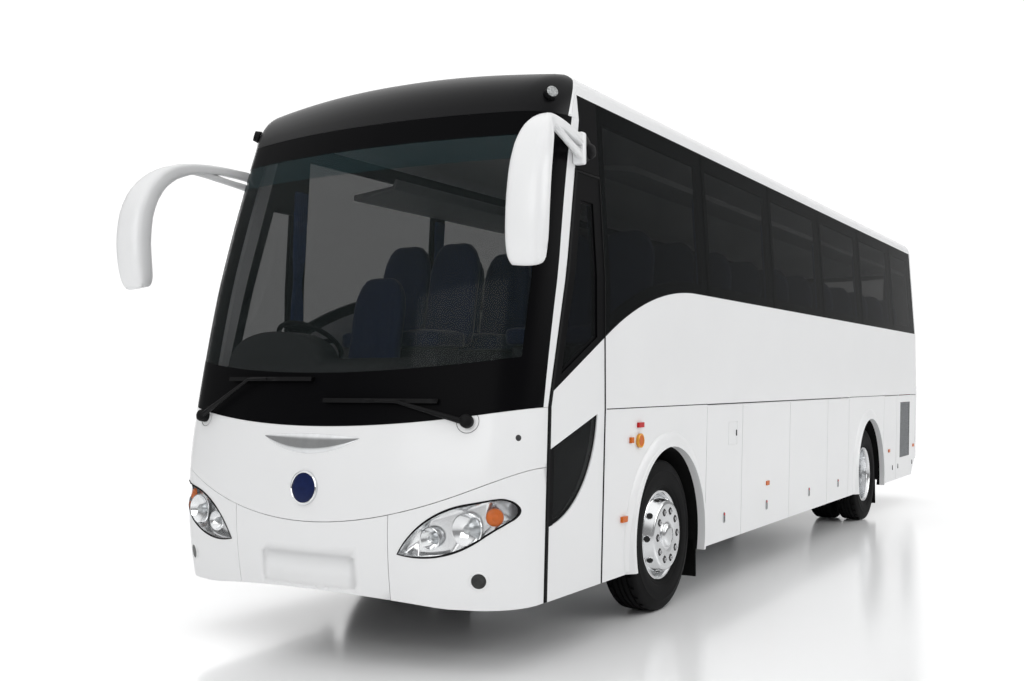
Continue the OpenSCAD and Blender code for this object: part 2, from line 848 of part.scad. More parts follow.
// Wipers: a pad on the front panel's upper edge, an arm, and a blade that follows the glass
module wiper(pad, elbow, blade) {
    function at(p, d) = front_pt(p[1], p[0], -d);
    front_skin(pad[0] - 0.012, pad[0] + 0.012, function(u) pad[1] - 20, function(u) pad[1] + 20, -fit, 2, 2, 0, -30);
    hull() {
        translate(at(pad, 45))
            sphere(r = 17, $fn = 16);
        translate(at(elbow, 45))
            sphere(r = 9, $fn = 16);
    }
    hull() {
        translate(at(elbow, 45))
            sphere(r = 9, $fn = 16);
        translate(at([(blade[0] + blade[1]) / 2, blade[2]], 34))
            sphere(r = 9, $fn = 16);
    }
    front_skin(blade[0], blade[1], function(u) blade[2] - 12, function(u) blade[2] + 12, -5, 12, 1, 0, -30);
}

module wipers() {
    color("black") {
        wiper([0.56, screen_z + 35], [0.33, screen_z + 140], [0.05, 0.46, screen_z + 145]);
        wiper([-0.56, screen_z + 35], [-0.3, screen_z + 260], [-0.42, -0.01, screen_z + 265]);
    }
}

// Ladder frames ahead of and behind the luggage bay: half spacing, front end, rear end, foot of the rails
rail_h = 200;
front_ladder = [420, nose_in, bay_front, platform_z - 240];
rear_ladder = [450, bay_rear + bay_wall, rear_edge - 60, 700];

module ladder(f, ties) {
    tie_x = f[0] - rail_w / 2 - fit;
    for (s = [1, -1])
        translate([s * f[0] - rail_w / 2, f[1], f[3]])
            cube([rail_w, f[2] - f[1], rail_h]);
    for (y = ties)
        box([-tie_x, y, f[3] + 20], [tie_x, y + 60, f[3] + rail_h - 20]);
}

module frame() {
    tow_y = nose_in - 50;
    color("dimgray") {
        ladder(front_ladder, [nose_in, nose_in + 900]);
        ladder(rear_ladder, [bay_rear + 80, wheelbase + 500]);
        difference() {
            box([-tow_w / 2, nose_in - 100, platform_z - 200], [tow_w / 2, nose_in - fit, platform_z - 100]);
            translate([0, tow_y, platform_z - 201])
                cylinder(r = tow_r, h = 102);
        }
    }
}

module luggage_bay() {
    color("silver") {
        box([-bay_w, bay_front, bay_z], [bay_w, bay_rear + bay_wall, bay_z + bay_wall]);
        box([-bay_w, bay_front, bay_z], [bay_w, bay_front + bay_wall, deck_z - deck_t]);
        box([-bay_w, bay_rear, bay_z], [bay_w, bay_rear + bay_wall, deck_z - deck_t]);
    }
}

module cabin_floor() {
    step_x = [bay_w - 600, bay_w - 300, bay_w];
    t = 40;
    color("gray") {
        box([wall - half_w, riser_y, deck_z - deck_t], [half_w - wall, rear_edge, deck_z]);
        box([-bay_w, riser_y, platform_z - t], [bay_w, riser_y + bay_wall, deck_z - 1]);
        box([step_x[0], riser_y, 360], [step_x[2], riser_y + bay_wall, platform_z]);
        box([-bay_w, nose_in, platform_z - t], [step_x[0] + 20, riser_y + 1, platform_z]);
        box([step_x[0], -door_front + 30, 360], [step_x[2], riser_y + 1, 360 + t]);
        box([step_x[0], -door_front + 30, 360], [step_x[0] + 20, riser_y + 1, platform_z]);
        box([step_x[0], -door_front + 30, 600], [step_x[1], riser_y + 1, 640]);
        box([step_x[1] - 20, -door_front + 30, 360], [step_x[1], riser_y + 1, 640]);
        box([-220, riser_y - 300, platform_z - 1], [step_x[0], riser_y + 1, platform_z + 270]);
        box([-bay_w, nose_in, platform_z - 1], [plinth_x, riser_y + 1, driver_z]);
    }
}

column_at = [630 - half_w, nose_in + 180, driver_z + 400];
column_tilt = -35;
// Half width and height of the hood over the instruments
hood = [370, 240];

module column_frame() {
    translate(column_at)
        rotate([column_tilt, 0, 0])
            children();
}

module dashboard() {
    color("dimgray") {
        translate([0, nose_in, driver_z])
            yz(250 - half_w, 430)
                polygon([[-50, 0], [240, 0], [240, 280], [300, 420], [240, 550], [100, 570], [-60, 480]]);
        box([plinth_x + fit, nose_in, platform_z], [430, nose_in + 240, driver_z + 1]);
        xz(nose_in + 20, nose_in + 230)
            polygon([
                for (a = [0:20]) let (k = 180 * a / 20)
                    [column_at[0] + hood[0] * cos(k), driver_z + 500 + hood[1] * pow(sin(k), 0.8)]]);
        column_frame()
            cylinder(r = 35, h = 330);
        column_frame()
            cylinder(r = 15, h = 380);
    }
}

module steering_wheel() {
    color("black")
        column_frame()
            translate([0, 0, 340]) {
                rotate_extrude()
                    translate([215, 0])
                        circle(16);
                difference() {
                    union() {
                        cylinder(r = 50, h = 30);
                        for (a = [0, 120, 240])
                            rotate(a)
                                translate([0, -15, 6])
                                    cube([212, 30, 14]);
                    }
                    translate([0, 0, -1])
                        cylinder(r = 15 + run_fit, h = 42);
                }
            }
}

// Seats: x of each seat's middle, y of its front edge, height of the floor below it
seat_gap = 20;
seat_front = -600;
seat_rows = 1 + floor((rear_edge - seat_front - 650) / seat_pitch);
seat_columns = [for (s = [1, -1], k = [0, 1]) s * (half_w - wall - 60 - seat_w / 2 - k * (seat_w + seat_gap))];
seat_places = concat(
    [for (r = [0:seat_rows - 1], x = seat_columns) [x, seat_front + r * seat_pitch, deck_z]],
    [[column_at[0], nose_in + 540, driver_z]]);

module seat_cushions() {
    color("darkslateblue")
        for (p = seat_places)
            translate([p[0] - seat_w / 2, p[1], p[2]])
                yz(0, seat_w)
                    polygon([
                        [60, 0], [380, 0], [380, 330], [430, 350], [430, 455], [40, 480], [0, 440], [10, 370],
                        [60, 340]]);
}

module seat_backs() {
    color("darkslateblue")
        for (p = seat_places)
            translate([p[0] - seat_w / 2, p[1], p[2]])
                yz(0, seat_w)
                    polygon([
                        [430 + fit, 360], [500, 360], [650, 1080], [640, 1150], [590, 1160], [560, 1080],
                        [430 + fit, 500]]);
}

rack_z = roof_h - 520;

module luggage_racks() {
    lip_x = half_w - 500;
    color("gray")
        for (s = [1, -1])
            on_side(s)
                xz(-400, rear_edge - 200)
                    polygon([
                        [side_x(rack_z) - wall - fit, rack_z], [side_x(rack_z + 40) - wall - fit, rack_z + 40],
                        [lip_x + 50, rack_z + 80], [lip_x + 20, rack_z + 130], [lip_x, rack_z + 120],
                        [lip_x + 30, rack_z + 55]]);
}

// Curtains gathered at the window pillars
module curtains() {
    z1 = rack_z - 20;
    color("steelblue")
        for (s = [1, -1])
            on_side(s)
                side_piece(wall + fit, wall + 30, glass_z - 200, z1)
                    for (b = bays())
                        translate([b[0] - 70, swoosh(b[0]) + 20])
                            square([140, z1 - swoosh(b[0]) - 20]);
}

module front_axle() {
    eye = 55;
    color("dimgray") {
        for (s = [1, -1])
            on_side(s) {
                difference() {
                    union() {
                        translate([kingpin_x, 0, axle_z - eye])
                            cylinder(r = eye, h = 2 * eye);
                        hull() {
                            box([kingpin_x - 60, -40, axle_z - 40], [kingpin_x - 20, 40, axle_z + 40]);
                            box([540, -40, axle_z - 120], [580, 40, axle_z - 30]);
                        }
                    }
                    translate([kingpin_x, 0, axle_z - eye - 1])
                        cylinder(r = 28 + run_fit, h = 2 * eye + 2);
                }
                translate([front_ladder[0], 0, axle_z - 40])
                    cylinder(r = 90, h = front_ladder[3] - axle_z + 40);
            }
        box([-580, -40, axle_z - 120], [580, 40, axle_z - 30]);
    }
}

module knuckle() {
    yoke = 61;
    translate([kingpin_x, 0, axle_z]) {
        translate([0, 0, -yoke - 30])
            cylinder(r = 28, h = 2 * yoke + 60);
        for (z = [-yoke - 30, yoke])
            hull() {
                translate([0, 0, z])
                    cylinder(r = 45, h = 30, $fn = 32);
                translate([62, -45, z])
                    cube([20, 90, 30]);
            }
        translate([62, -45, -yoke - 30])
            cube([30, 90, 2 * yoke + 60]);
        rod_x(80, wheel_x - kingpin_x + 50, 40, 0, 0);
    }
}

module knuckle_left() {
    color("dimgray")
        knuckle();
}

module knuckle_right() {
    color("dimgray")
        mirror([1, 0, 0])
            knuckle();
}

// Tyre section: bead, bulging sidewall and flat tread, as half widths against the height from bead to tread
tyre_section = [
    [0, 0.36], [0.07, 0.36], [0.12, 0.42], [0.28, 0.49], [0.45, 0.5], [0.68, 0.48], [0.86, 0.45], [0.96, 0.42],
    [1, 0.38]];

module tyre(x) {
    low = rim_d / 2 + fit;
    high = tyre_d / 2;
    n = len(tyre_section);
    translate([x, 0, axle_z])
        rotate([0, 90, 0])
            rotate_extrude()
                polygon(concat(
                    [for (p = tyre_section) [mix(low, high, p[0]), p[1] * tyre_w]],
                    [for (k = [n - 1:-1:0]) [mix(low, high, tyre_section[k][0]), -tyre_section[k][1] * tyre_w]]));
}

// Rim barrel with its two flanges
module rim_barrel() {
    seat_r = rim_d / 2;
    half = 0.36 * tyre_w + fit;
    rotate_extrude()
        polygon([
            [seat_r - 18, -half - 12], [seat_r + 14, -half - 12], [seat_r + 14, -half], [seat_r, -half],
            [seat_r, half], [seat_r + 14, half], [seat_r + 14, half + 12], [seat_r - 18, half + 12]]);
}

module hand_holes(r, hole_r, count) {
    for (k = [0:count - 1])
        rotate(360 * k / count)
            translate([r, 0, -200])
                cylinder(r = hole_r, h = 400);
}

// Front wheel: a disc that bulges outwards to the hub and its cap
module front_rim() {
    seat_r = rim_d / 2;
    translate([wheel_x, 0, axle_z])
        rotate([0, 90, 0])
            difference() {
                union() {
                    rim_barrel();
                    rotate_extrude()
                        polygon([
                            [0, 60], [150, 60], [190, 40], [seat_r - 17, -10], [seat_r - 17, 4], [196, 54], [158, 76],
                            [0, 76]]);
                    translate([0, 0, -62])
                        cylinder(r = 75, h = 130);
                    translate([0, 0, 70])
                        cylinder(r1 = 95, r2 = 80, h = 45);
                }
                translate([0, 0, -63])
                    cylinder(r = 40 + run_fit, h = 115);
                hand_holes(225, 22, 10);
            }
}

// Twin wheels: two barrels on discs that meet at the hub's flange
module rear_rims() {
    seat_r = rim_d / 2;
    translate([wheel_x - twin_pitch / 2, 0, axle_z])
        rotate([0, 90, 0])
            difference() {
                union() {
                    for (s = [1, -1])
                        translate([0, 0, s * twin_pitch / 2]) {
                            rim_barrel();
                            rotate_extrude()
                                polygon([
                                    [60, -s * twin_pitch / 2], [200, -s * twin_pitch / 2], [seat_r - 17, -s * 60],
                                    [seat_r - 17, -s * 44], [196, -s * (twin_pitch / 2 - 16)],
                                    [60, -s * (twin_pitch / 2 - 16)]]);
                        }
                    translate([0, 0, -120])
                        cylinder(r = 110, h = 300);
                }
                translate([0, 0, -121])
                    cylinder(r = 50 + run_fit, h = 281);
                hand_holes(236, 22, 10);
            }
}

module front_tyre_left() {
    color("black")
        tyre(wheel_x);
}

module front_tyre_right() {
    color("black")
        tyre(-wheel_x);
}

module front_rim_left() {
    color("silver")
        front_rim();
}

module front_rim_right() {
    color("silver")
        mirror([1, 0, 0])
            front_rim();
}

module rear_tyres(s) {
    color("black")
        translate([0, wheelbase, 0])
            for (x = [wheel_x, wheel_x - twin_pitch])
                tyre(s * x);
}

module rear_rim_pair(s) {
    color("silver")
        translate([0, wheelbase, 0])
            on_side(s)
                rear_rims();
}

module rear_axle() {
    tube = wheel_x - twin_pitch / 2 - 130;
    color("dimgray")
        translate([0, wheelbase, 0]) {
            rod_x(-tube, tube, 80, 0, axle_z);
            rod_x(-wheel_x, wheel_x, 50, 0, axle_z);
            rod_y(-100, 100, 190, 0, axle_z);
            translate([0, -99, axle_z])
                rotate([90, 0, 0])
                    cylinder(r1 = 190, r2 = 85, h = 150);
            rod_y(-420, -240, 60, 0, axle_z);
            for (s = [1, -1])
                translate([s * rear_ladder[0], 0, axle_z])
                    cylinder(r = 100, h = rear_ladder[3] - axle_z);
        }
}

module engine_block() {
    color("dimgray")
        box([rail_w / 2 - rear_ladder[0], rear_y - 1700, 560], [rear_ladder[0] - rail_w / 2, rear_y - 400, 1200]);
}

module mud_flaps() {
    color("black")
        for (s = [1, -1])
            on_side(s) {
                box([wheel_x - tyre_w, bay_front - 14, 120], [bay_w, bay_front - fit, 850]);
                box([600, wheelbase + 652, 120], [bay_w, wheelbase + 664, 740]);
                box(
                    [rear_ladder[0] + rail_w / 2, wheelbase + 640, rear_ladder[3] + 10], [bay_w, wheelbase + 664, 740]);
            }
}

// Wheel housing: a shell over the tyre that meets the side panel's inner face
module wheel_housing(y, r, x0) {
    difference() {
        translate([x0, y, axle_z])
            rotate([0, 90, 0])
                difference() {
                    cylinder(r = r + 12, h = half_w - x0);
                    translate([0, 0, -1])
                        cylinder(r = r, h = half_w - x0 + 2);
                }
        box([0, y - 2 * r, -r], [2 * half_w, y + 2 * r, skirt_z + 60]);
        xz(y - 2 * r, y + 2 * r)
            layer_outline(-half_w, wall + fit, 0, seam_z);
    }
}

module wheel_housings() {
    color("black")
        for (s = [1, -1])
            on_side(s) {
                wheel_housing(0, front_arch_r, 690);
                wheel_housing(wheelbase, rear_arch_r, 600);
            }
}

// Passenger door: a leaf hung on two arms from a turning post
arm_z = [700, 1550];

module door_arm() {
    color("silver")
        difference() {
            union() {
                translate([post_x, post_y, bay_z + fit])
                    cylinder(r = 25, h = 1400);
                for (z = arm_z) {
                    box([post_x - 12, post_y, z - 25], [post_x + 12, pivot_y, z + 25]);
                    translate([post_x, pivot_y, z - 25])
                        cylinder(r = 22, h = 50);
                }
            }
            for (z = arm_z)
                translate([post_x, pivot_y, z - 30])
                    cylinder(r = 10 + run_fit, h = 60);
        }
}

module leaf_outline() {
    y1 = -door_rear - panel_gap;
    z1 = door_top - panel_gap;
    polygon([
        [pillar_y(0) + panel_gap, skirt_z], [y1, skirt_z], [y1, z1], [pillar_y(z1) + panel_gap, z1],
        [pillar_y(pillar_z) + panel_gap, pillar_z]]);
}

module door_windows(grow) {
    front_bay_outline(110 - grow, 50 - grow, 180 - grow);
    intersection() {
        translate([-door_front - 15, 1380])
            circle(630 + grow);
        polygon([
            [-door_front + 80 - grow, 600], [-door_front + 80 - grow, 1190 + grow],
            [-door_rear - 100 + grow, 1360 + grow], [-door_rear - 100 + grow, 600]]);
    }
}

module door_leaf() {
    color("white") {
        side_piece(0, wall, skirt_z, door_top)
            difference() {
                leaf_outline();
                door_windows(0);
            }
        for (z = arm_z) {
            translate([post_x, pivot_y, z - 41])
                cylinder(r = 10, h = 82);
            for (k = [-41, 31])
                box([post_x - 15, pivot_y - 15, z + k], [side_x(z) - wall + 5, pivot_y + 15, z + k + 10]);
        }
    }
}

module door_glass() {
    color([0.1, 0.12, 0.13, 0.5])
        side_piece(8, 8 + glass_t, skirt_z, door_top)
            door_windows(-fit);
}

// A flap hangs from a barrel along its upper edge. Some carry a lamp, a grille or the filler's own small lid.
grille = [tail_split + 210, 600, (rear_edge - tail_split) / 2, 690];
slat_pitch = 46;
filler = [flap_edge[0] + 470, 1064, 190, 172];
FLAP_LAMPS = [
    ["2", flap_edge[1] + 660, 694, 36, 18], ["5", tail_edge[0] + 290, 715, 36, 18],
    ["6", rear_edge - 100, 715, 36, 18]];

module frame_outline(r, w) {
    difference() {
        translate([r[0] - w, r[1] - w])
            square([r[2] + 2 * w, r[3] + 2 * w]);
        translate([r[0], r[1]])
            square([r[2], r[3]]);
    }
}

module grille_slats() {
    for (z = [grille[1] + slat_pitch / 2 : slat_pitch : grille[1] + grille[3] - 10])
        xz(grille[0] - 1, grille[0] + grille[2] + 1)
            polygon([
                [side_x(z) - 4, z - 14], [side_x(z) - 4, z - 10], [side_x(z) - wall + 4, z + 14],
                [side_x(z) - wall + 4, z + 10]]);
}

module flap(s, f) {
    y0 = f[0] + panel_gap / 2;
    y1 = f[1] - panel_gap / 2;
    last = f[1] == rear_edge;
    cut = last ? 200 : 0;
    color("white")
        on_side(s) {
            difference() {
                union() {
                    side_piece(0, wall, skirt_z, seam_z)
                        polygon([
                            [y0, skirt_z], [y1 - cut, skirt_z], [y1, skirt_z + cut], [y1, hinge_z], [y0, hinge_z]]);
                    rod_y(y0, y1, barrel_r, half_w - hinge_in, hinge_z);
                    for (l = FLAP_LAMPS)
                        if (l[0] == f[2])
                            side_piece(-lip_out / 2, wall / 2, skirt_z, seam_z)
                                translate([l[1] - l[3], l[2] - l[4]])
                                    square([2 * l[3], 2 * l[4]]);
                }
                rod_y(y0 - 1, y1 + 1, rod_r + run_fit, half_w - hinge_in, hinge_z);
                if (last)
                    yz(half_w - 200, half_w + 100)
                        translate([grille[0], grille[1]])
                            square([grille[2], grille[3]]);
                if (s > 0 && f[2] == "1")
                    side_piece(-1, seam_w, skirt_z, seam_z)
                        frame_outline(filler, seam_w);
            }
            if (last)
                grille_slats();
        }
}

place() bumper();
place() front_panel();
place() windscreen();
place() dome();
place() corner_bands();
place() headlamps();
place() fog_lamps();
place() roof();
place() air_conditioner();
place() side_panel_left();
place() side_panel_right();
place() window_frames();
place() side_glass_left();
place() side_glass_right();
place() rear_wall();
place() rear_glass();
place() engine_lid();
place() tail_lamps();
place() mirrors();
place() wipers();
place() frame();
place() luggage_bay();
place() cabin_floor();
place() dashboard();
place() seat_cushions();
place() seat_backs();
place() luggage_racks();
place() curtains();
place() side_lamps();
place() wheel_housings();
place() front_axle();
place() rear_axle();
place() engine_block();
place() mud_flaps();
place() knuckle_left();
place() knuckle_right();
place() front_tyre_left();
place() front_tyre_right();
place() front_rim_left();
place() front_rim_right();
place() rear_tyres(1);  // rear_tyres_left
place() rear_tyres(-1);  // rear_tyres_right
place() rear_rim_pair(1);  // rear_rims_left
place() rear_rim_pair(-1);  // rear_rims_right
place() steering_wheel();
place() door_arm();
place() door_leaf();
place() door_glass();
for (s = SIDES, f = FLAPS)
    place() flap(s[0], f);
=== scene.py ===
import bmesh
import bpy
import json
from math import cos, copysign, exp, pi, radians, sin, tan
from mathutils import Matrix, Vector
from mathutils.bvhtree import BVHTree


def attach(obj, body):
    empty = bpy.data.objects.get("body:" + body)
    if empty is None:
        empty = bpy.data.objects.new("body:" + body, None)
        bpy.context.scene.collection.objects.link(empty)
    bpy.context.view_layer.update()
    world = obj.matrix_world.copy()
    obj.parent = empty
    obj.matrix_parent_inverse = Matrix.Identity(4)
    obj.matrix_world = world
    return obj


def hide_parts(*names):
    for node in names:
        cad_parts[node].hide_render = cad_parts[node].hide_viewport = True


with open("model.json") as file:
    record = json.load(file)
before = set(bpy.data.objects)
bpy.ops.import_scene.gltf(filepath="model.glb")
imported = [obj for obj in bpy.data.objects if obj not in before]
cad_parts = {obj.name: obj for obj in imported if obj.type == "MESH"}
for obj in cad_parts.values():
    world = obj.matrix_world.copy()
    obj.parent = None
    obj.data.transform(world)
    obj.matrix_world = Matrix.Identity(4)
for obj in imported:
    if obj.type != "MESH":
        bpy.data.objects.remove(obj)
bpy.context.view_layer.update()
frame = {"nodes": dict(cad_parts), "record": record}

# Studio: a white sweep behind the coach and a white ceiling, with darker walls beside and behind the camera so
# that black paint and tinted glass stay dark. Large soft boxes light it from above, the front and both sides.
scene = bpy.context.scene
scene.view_settings.view_transform = "Standard"
world = bpy.data.worlds.new("studio_walls")
world.use_nodes = True
scene.world = world
walls = world.node_tree
towards = walls.nodes.new("ShaderNodeTexCoord")


def wall_share(direction, low, high):
    """How far a ray looks towards one wall of the studio, from 0 to 1."""
    along = walls.nodes.new("ShaderNodeVectorMath")
    along.operation = "DOT_PRODUCT"
    along.inputs[1].default_value = direction
    walls.links.new(towards.outputs["Generated"], along.inputs[0])
    step = walls.nodes.new("ShaderNodeMapRange")
    step.interpolation_type = "SMOOTHSTEP"
    step.inputs["From Min"].default_value = low
    step.inputs["From Max"].default_value = high
    walls.links.new(along.outputs["Value"], step.inputs["Value"])
    return step.outputs["Result"]


brighter = walls.nodes.new("ShaderNodeMath")
brighter.operation = "MAXIMUM"
walls.links.new(wall_share((0, 0, 1), 0.3, 0.7), brighter.inputs[0])
walls.links.new(wall_share((-0.509, 0.861, 0), 0.72, 0.87), brighter.inputs[1])
glow = walls.nodes.new("ShaderNodeMapRange")
glow.inputs["To Min"].default_value = 0.3
glow.inputs["To Max"].default_value = 1.1
walls.links.new(brighter.outputs["Value"], glow.inputs["Value"])
walls.links.new(glow.outputs["Result"], walls.nodes["Background"].inputs["Strength"])
walls.nodes["Background"].inputs["Color"].default_value = (1, 1, 1, 1)


def finish_of(name, colour, roughness=0.5, scale=4.0, spread=0.05, bump=0.0, bump_scale=200.0, **sockets):
    """A finish whose colour drifts over the surface by a soft noise, with a fine relief if wanted."""
    mat = bpy.data.materials.new(name)
    mat.use_nodes = True
    tree = mat.node_tree
    shader = tree.nodes["Principled BSDF"]
    shader.inputs["Roughness"].default_value = roughness
    for key, value in sockets.items():
        shader.inputs[key.replace("_", " ")].default_value = value
    spot = tree.nodes.new("ShaderNodeTexCoord")
    drift = tree.nodes.new("ShaderNodeTexNoise")
    drift.inputs["Scale"].default_value = scale
    drift.inputs["Detail"].default_value = 4
    shades = tree.nodes.new("ShaderNodeValToRGB")
    for end, place, share in ((0, 0.3, 1 - spread), (1, 0.7, 1 + spread)):
        shades.color_ramp.elements[end].position = place
        shades.color_ramp.elements[end].color = (*[min(1, c * share) for c in colour], 1)
    tree.links.new(spot.outputs["Object"], drift.inputs["Vector"])
    tree.links.new(drift.outputs["Fac"], shades.inputs["Fac"])
    tree.links.new(shades.outputs["Color"], shader.inputs["Base Color"])
    if bump:
        grain = tree.nodes.new("ShaderNodeTexNoise")
        grain.inputs["Scale"].default_value = bump_scale
        grain.inputs["Detail"].default_value = 2
        relief = tree.nodes.new("ShaderNodeBump")
        relief.inputs["Strength"].default_value = bump
        relief.inputs["Distance"].default_value = 0.002
        tree.links.new(spot.outputs["Object"], grain.inputs["Vector"])
        tree.links.new(grain.outputs["Fac"], relief.inputs["Height"])
        tree.links.new(relief.outputs["Normal"], shader.inputs["Normal"])
    return mat


def piece(bm, name, finishes, body, smooth=None, flat_sides=False):
    """Turns a bmesh into an object that rides on a body. Flat sides keep their facets' own shading."""
    mesh = bpy.data.meshes.new(name)
    bm.to_mesh(mesh)
    bm.free()
    obj = bpy.data.objects.new(name, mesh)
    scene.collection.objects.link(obj)
    for f in finishes if isinstance(finishes, list) else [finishes]:
        mesh.materials.append(f)
    if smooth is not None:
        mesh.shade_smooth()
        mesh.set_sharp_from_angle(angle=radians(smooth))
    if flat_sides:
        for f in mesh.polygons:
            f.use_smooth = f.use_smooth and abs(f.normal.x) < 0.99
    if body:
        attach(obj, body)
    return obj


studio_floor = finish_of("studio_floor", (0.95, 0.953, 0.956), 0.16, 0.4, 0.008)
bm = bmesh.new()
bmesh.ops.create_grid(bm, x_segments=1, y_segments=1, size=380, matrix=Matrix.Translation((0, 0, -0.0005)))
piece(bm, "floor", studio_floor, None)


def soft_box(name, place, target, size, power):
    """A rectangular lamp that faces its target."""
    data = bpy.data.lights.new(name, "AREA")
    data.shape = "RECTANGLE"
    data.size, data.size_y = size
    data.energy = power
    lamp = bpy.data.objects.new(name, data)
    lamp.location = place
    lamp.rotation_euler = (Vector(target) - Vector(place)).to_track_quat("-Z", "Y").to_euler()
    scene.collection.objects.link(lamp)


soft_box("overhead", (1, -1, 10), (0, 0, 1), (8, 14), 40)
soft_box("front_box", (2, -16, 5.5), (0, -4.5, 1.4), (10, 6), 370)
soft_box("door_side_box", (12, 3, 6), (1.2, 1, 1.5), (14, 5), 500)
soft_box("far_side_box", (-11, 6, 6), (-1.2, 0.5, 1.2), (8, 4), 300)

camera = bpy.data.objects.new("camera", bpy.data.cameras.new("camera"))
camera.data.sensor_width = 36
camera.data.lens = 39.3
camera.data.clip_end = 400
camera.location = (4.20, -10.25, 1.55)
yaw, pitch = radians(30.6), radians(2.1)
sight = Vector((-sin(yaw) * cos(pitch), cos(yaw) * cos(pitch), sin(pitch)))
camera.rotation_euler = sight.to_track_quat("-Z", "Y").to_euler()
scene.collection.objects.link(camera)
scene.camera = camera

# White shell: pressed and moulded panels of the front, the corners and the roof, sprayed white under a clear coat.
# Their facets are merged so that the coat shines without breaks.
white_paint = finish_of("white_paint", (0.81, 0.815, 0.82), 0.35, 1.5, 0.01, 0.02, 60,
                        Coat_Weight=0.25, Coat_Roughness=0.12)


def panel_mesh(name):
    """A copy of a CAD node's mesh with its facets merged."""
    bm = bmesh.new()
    bm.from_mesh(frame["nodes"][name].data)
    bmesh.ops.remove_doubles(bm, verts=bm.verts, dist=1e-5)
    return bm


def shown_for(name, bm, finishes, smooth=32, flat_sides=False):
    """Shows a mesh with the given finishes in a CAD node's place, on the node's body, and hides the node."""
    body = next(b for b, nodes in frame["record"]["behaviour"]["bodies"].items() if name in nodes)
    shown = piece(bm, name + "_shown", finishes, body, smooth, flat_sides)
    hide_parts(name)
    return shown


def shell(name, finishes, choose=None, smooth=32, flat_sides=False):
    """Shows a CAD node's merged copy; choose gives each face the number of its finish."""
    bm = panel_mesh(name)
    if choose:
        for f in bm.faces:
            f.material_index = int(choose(f.calc_center_median(), f.normal))
    return shown_for(name, bm, finishes, smooth, flat_sides)


for n in ("bumper", "front_panel", "corner_bands", "roof"):
    shell(n, white_paint)

# Side panels: flat sheets over the side frames, in the same white. Inside the wheel arches they are sprayed with
# black underseal, up to the painted lip.
underseal = finish_of("underseal", (0.006, 0.006, 0.006), 0.8, 25, 0.25, 0.3, 200, Specular_IOR_Level=0.1)
FRONT_AXLE = -3.15
REAR_AXLE = FRONT_AXLE + 5.8
HUB_Z = 0.509
ARCH_LIP_X = 1.212
sides = ((1, "left"), (-1, "right"))


def parted(bm, place, way):
    """Cuts all faces along a plane, so that two finishes can meet there."""
    bmesh.ops.bisect_plane(bm, geom=bm.verts[:] + bm.edges[:] + bm.faces[:], dist=1e-6, plane_co=place, plane_no=way)


for s, side in sides:
    bm = panel_mesh("side_panel_" + side)
    parted(bm, (s * ARCH_LIP_X, 0, 0), (1, 0, 0))
    for f in bm.faces:
        c = f.calc_center_median()
        reach = min(Vector((c.y - y, c.z - HUB_Z)).length for y in (FRONT_AXLE, REAR_AXLE))
        f.material_index = int(reach < 0.66 and abs(f.normal.x) < 0.5 and abs(c.x) < ARCH_LIP_X)
    shown_for("side_panel_" + side, bm, [white_paint, underseal], flat_sides=True)

# Black dome over the windscreen: the same lacquer over black, satin. The white of the corner bands runs on over
# its shoulders as a hoop.
black_paint = finish_of("black_paint", (0.005, 0.005, 0.0058), 0.3, 2, 0.1, 0.01, 60, Specular_IOR_Level=0.13)
bm = panel_mesh("dome")
HEAD_Z = 3.1
for s, _ in sides:
    foot, across = Vector((s * 1.189, -4.5153, HEAD_Z)), Vector((s * 0.1304, 0.2028, -0.0784))
    parted(bm, foot, across)
    for f in bm.faces:
        c = f.calc_center_median()
        if c.x * s > 0:
            f.material_index = int((c - foot).dot(across) > 0)
shown_for("dome", bm, [black_paint, white_paint])

# Windscreen: one bonded pane of laminated glass. A black enamel border is fired on along its edges, deepest
# along the foot, and the upper edge carries a darker sun band.
HALF_WIDTH, SKIRT_Z, SEAM_Z, WAIST_Z = 1.25, 0.34, 1.385, 2.18


def flank_x(z):
    """Half width of the coach's painted side at a height: tucked in at the skirt, leaning in along the glass."""
    if z < SEAM_Z:
        return HALF_WIDTH - 0.03 * (SEAM_Z - z) / (SEAM_Z - SKIRT_Z)
    return HALF_WIDTH - 0.062 * max(0, z - WAIST_Z) / 1.065


screen_glass = finish_of("screen_glass", (0.012, 0.016, 0.016), 0.03, 0.7, 0.1, Alpha=0.33, Specular_IOR_Level=0.12)
sun_band = finish_of("sun_band", (0.006, 0.02, 0.023), 0.03, 0.7, 0.1, Alpha=0.55, Specular_IOR_Level=0.12)
enamel = finish_of("black_enamel", (0.0025, 0.0025, 0.003), 0.35, 3, 0.1, Specular_IOR_Level=0.03)


def screen_zone(c, n):
    """Clear glass, sun band or enamel border, by the share of the way up from the curved foot."""
    sill = 1.3 + 0.11 * (c.x / HALF_WIDTH) ** 2
    up = (c.z - sill) / (HEAD_Z - sill)
    if up < 0.165 or up > 0.93 or abs(c.x) > flank_x(c.z) - 0.06:
        return 2
    return up > 0.83


shell("windscreen", [screen_glass, sun_band, enamel], screen_zone)

# Side windows, rear window and door window: flush panes of toughened glass, tinted nearly black and bonded to
# black frames. The rear and door panes carry an enamel border that hides the bond.
side_tint = finish_of("side_tint", (0.003, 0.0042, 0.0045), 0.03, 0.7, 0.1, Alpha=0.6, Specular_IOR_Level=0.06)
for n in ("side_glass_left", "side_glass_right"):
    shell(n, side_tint, flat_sides=True)
shell("window_frames", enamel, flat_sides=True)


def bordered_pane(name, keep, width):
    """A pane whose outer face carries an enamel border; keep picks the outer faces."""
    bm = panel_mesh(name)
    outer = [f for f in bm.faces if keep(f)]
    rim = bmesh.ops.inset_region(bm, faces=outer, thickness=width, use_boundary=True)["faces"]
    for f in rim:
        f.material_index = 1
    return shown_for(name, bm, [side_tint, enamel], flat_sides=True)


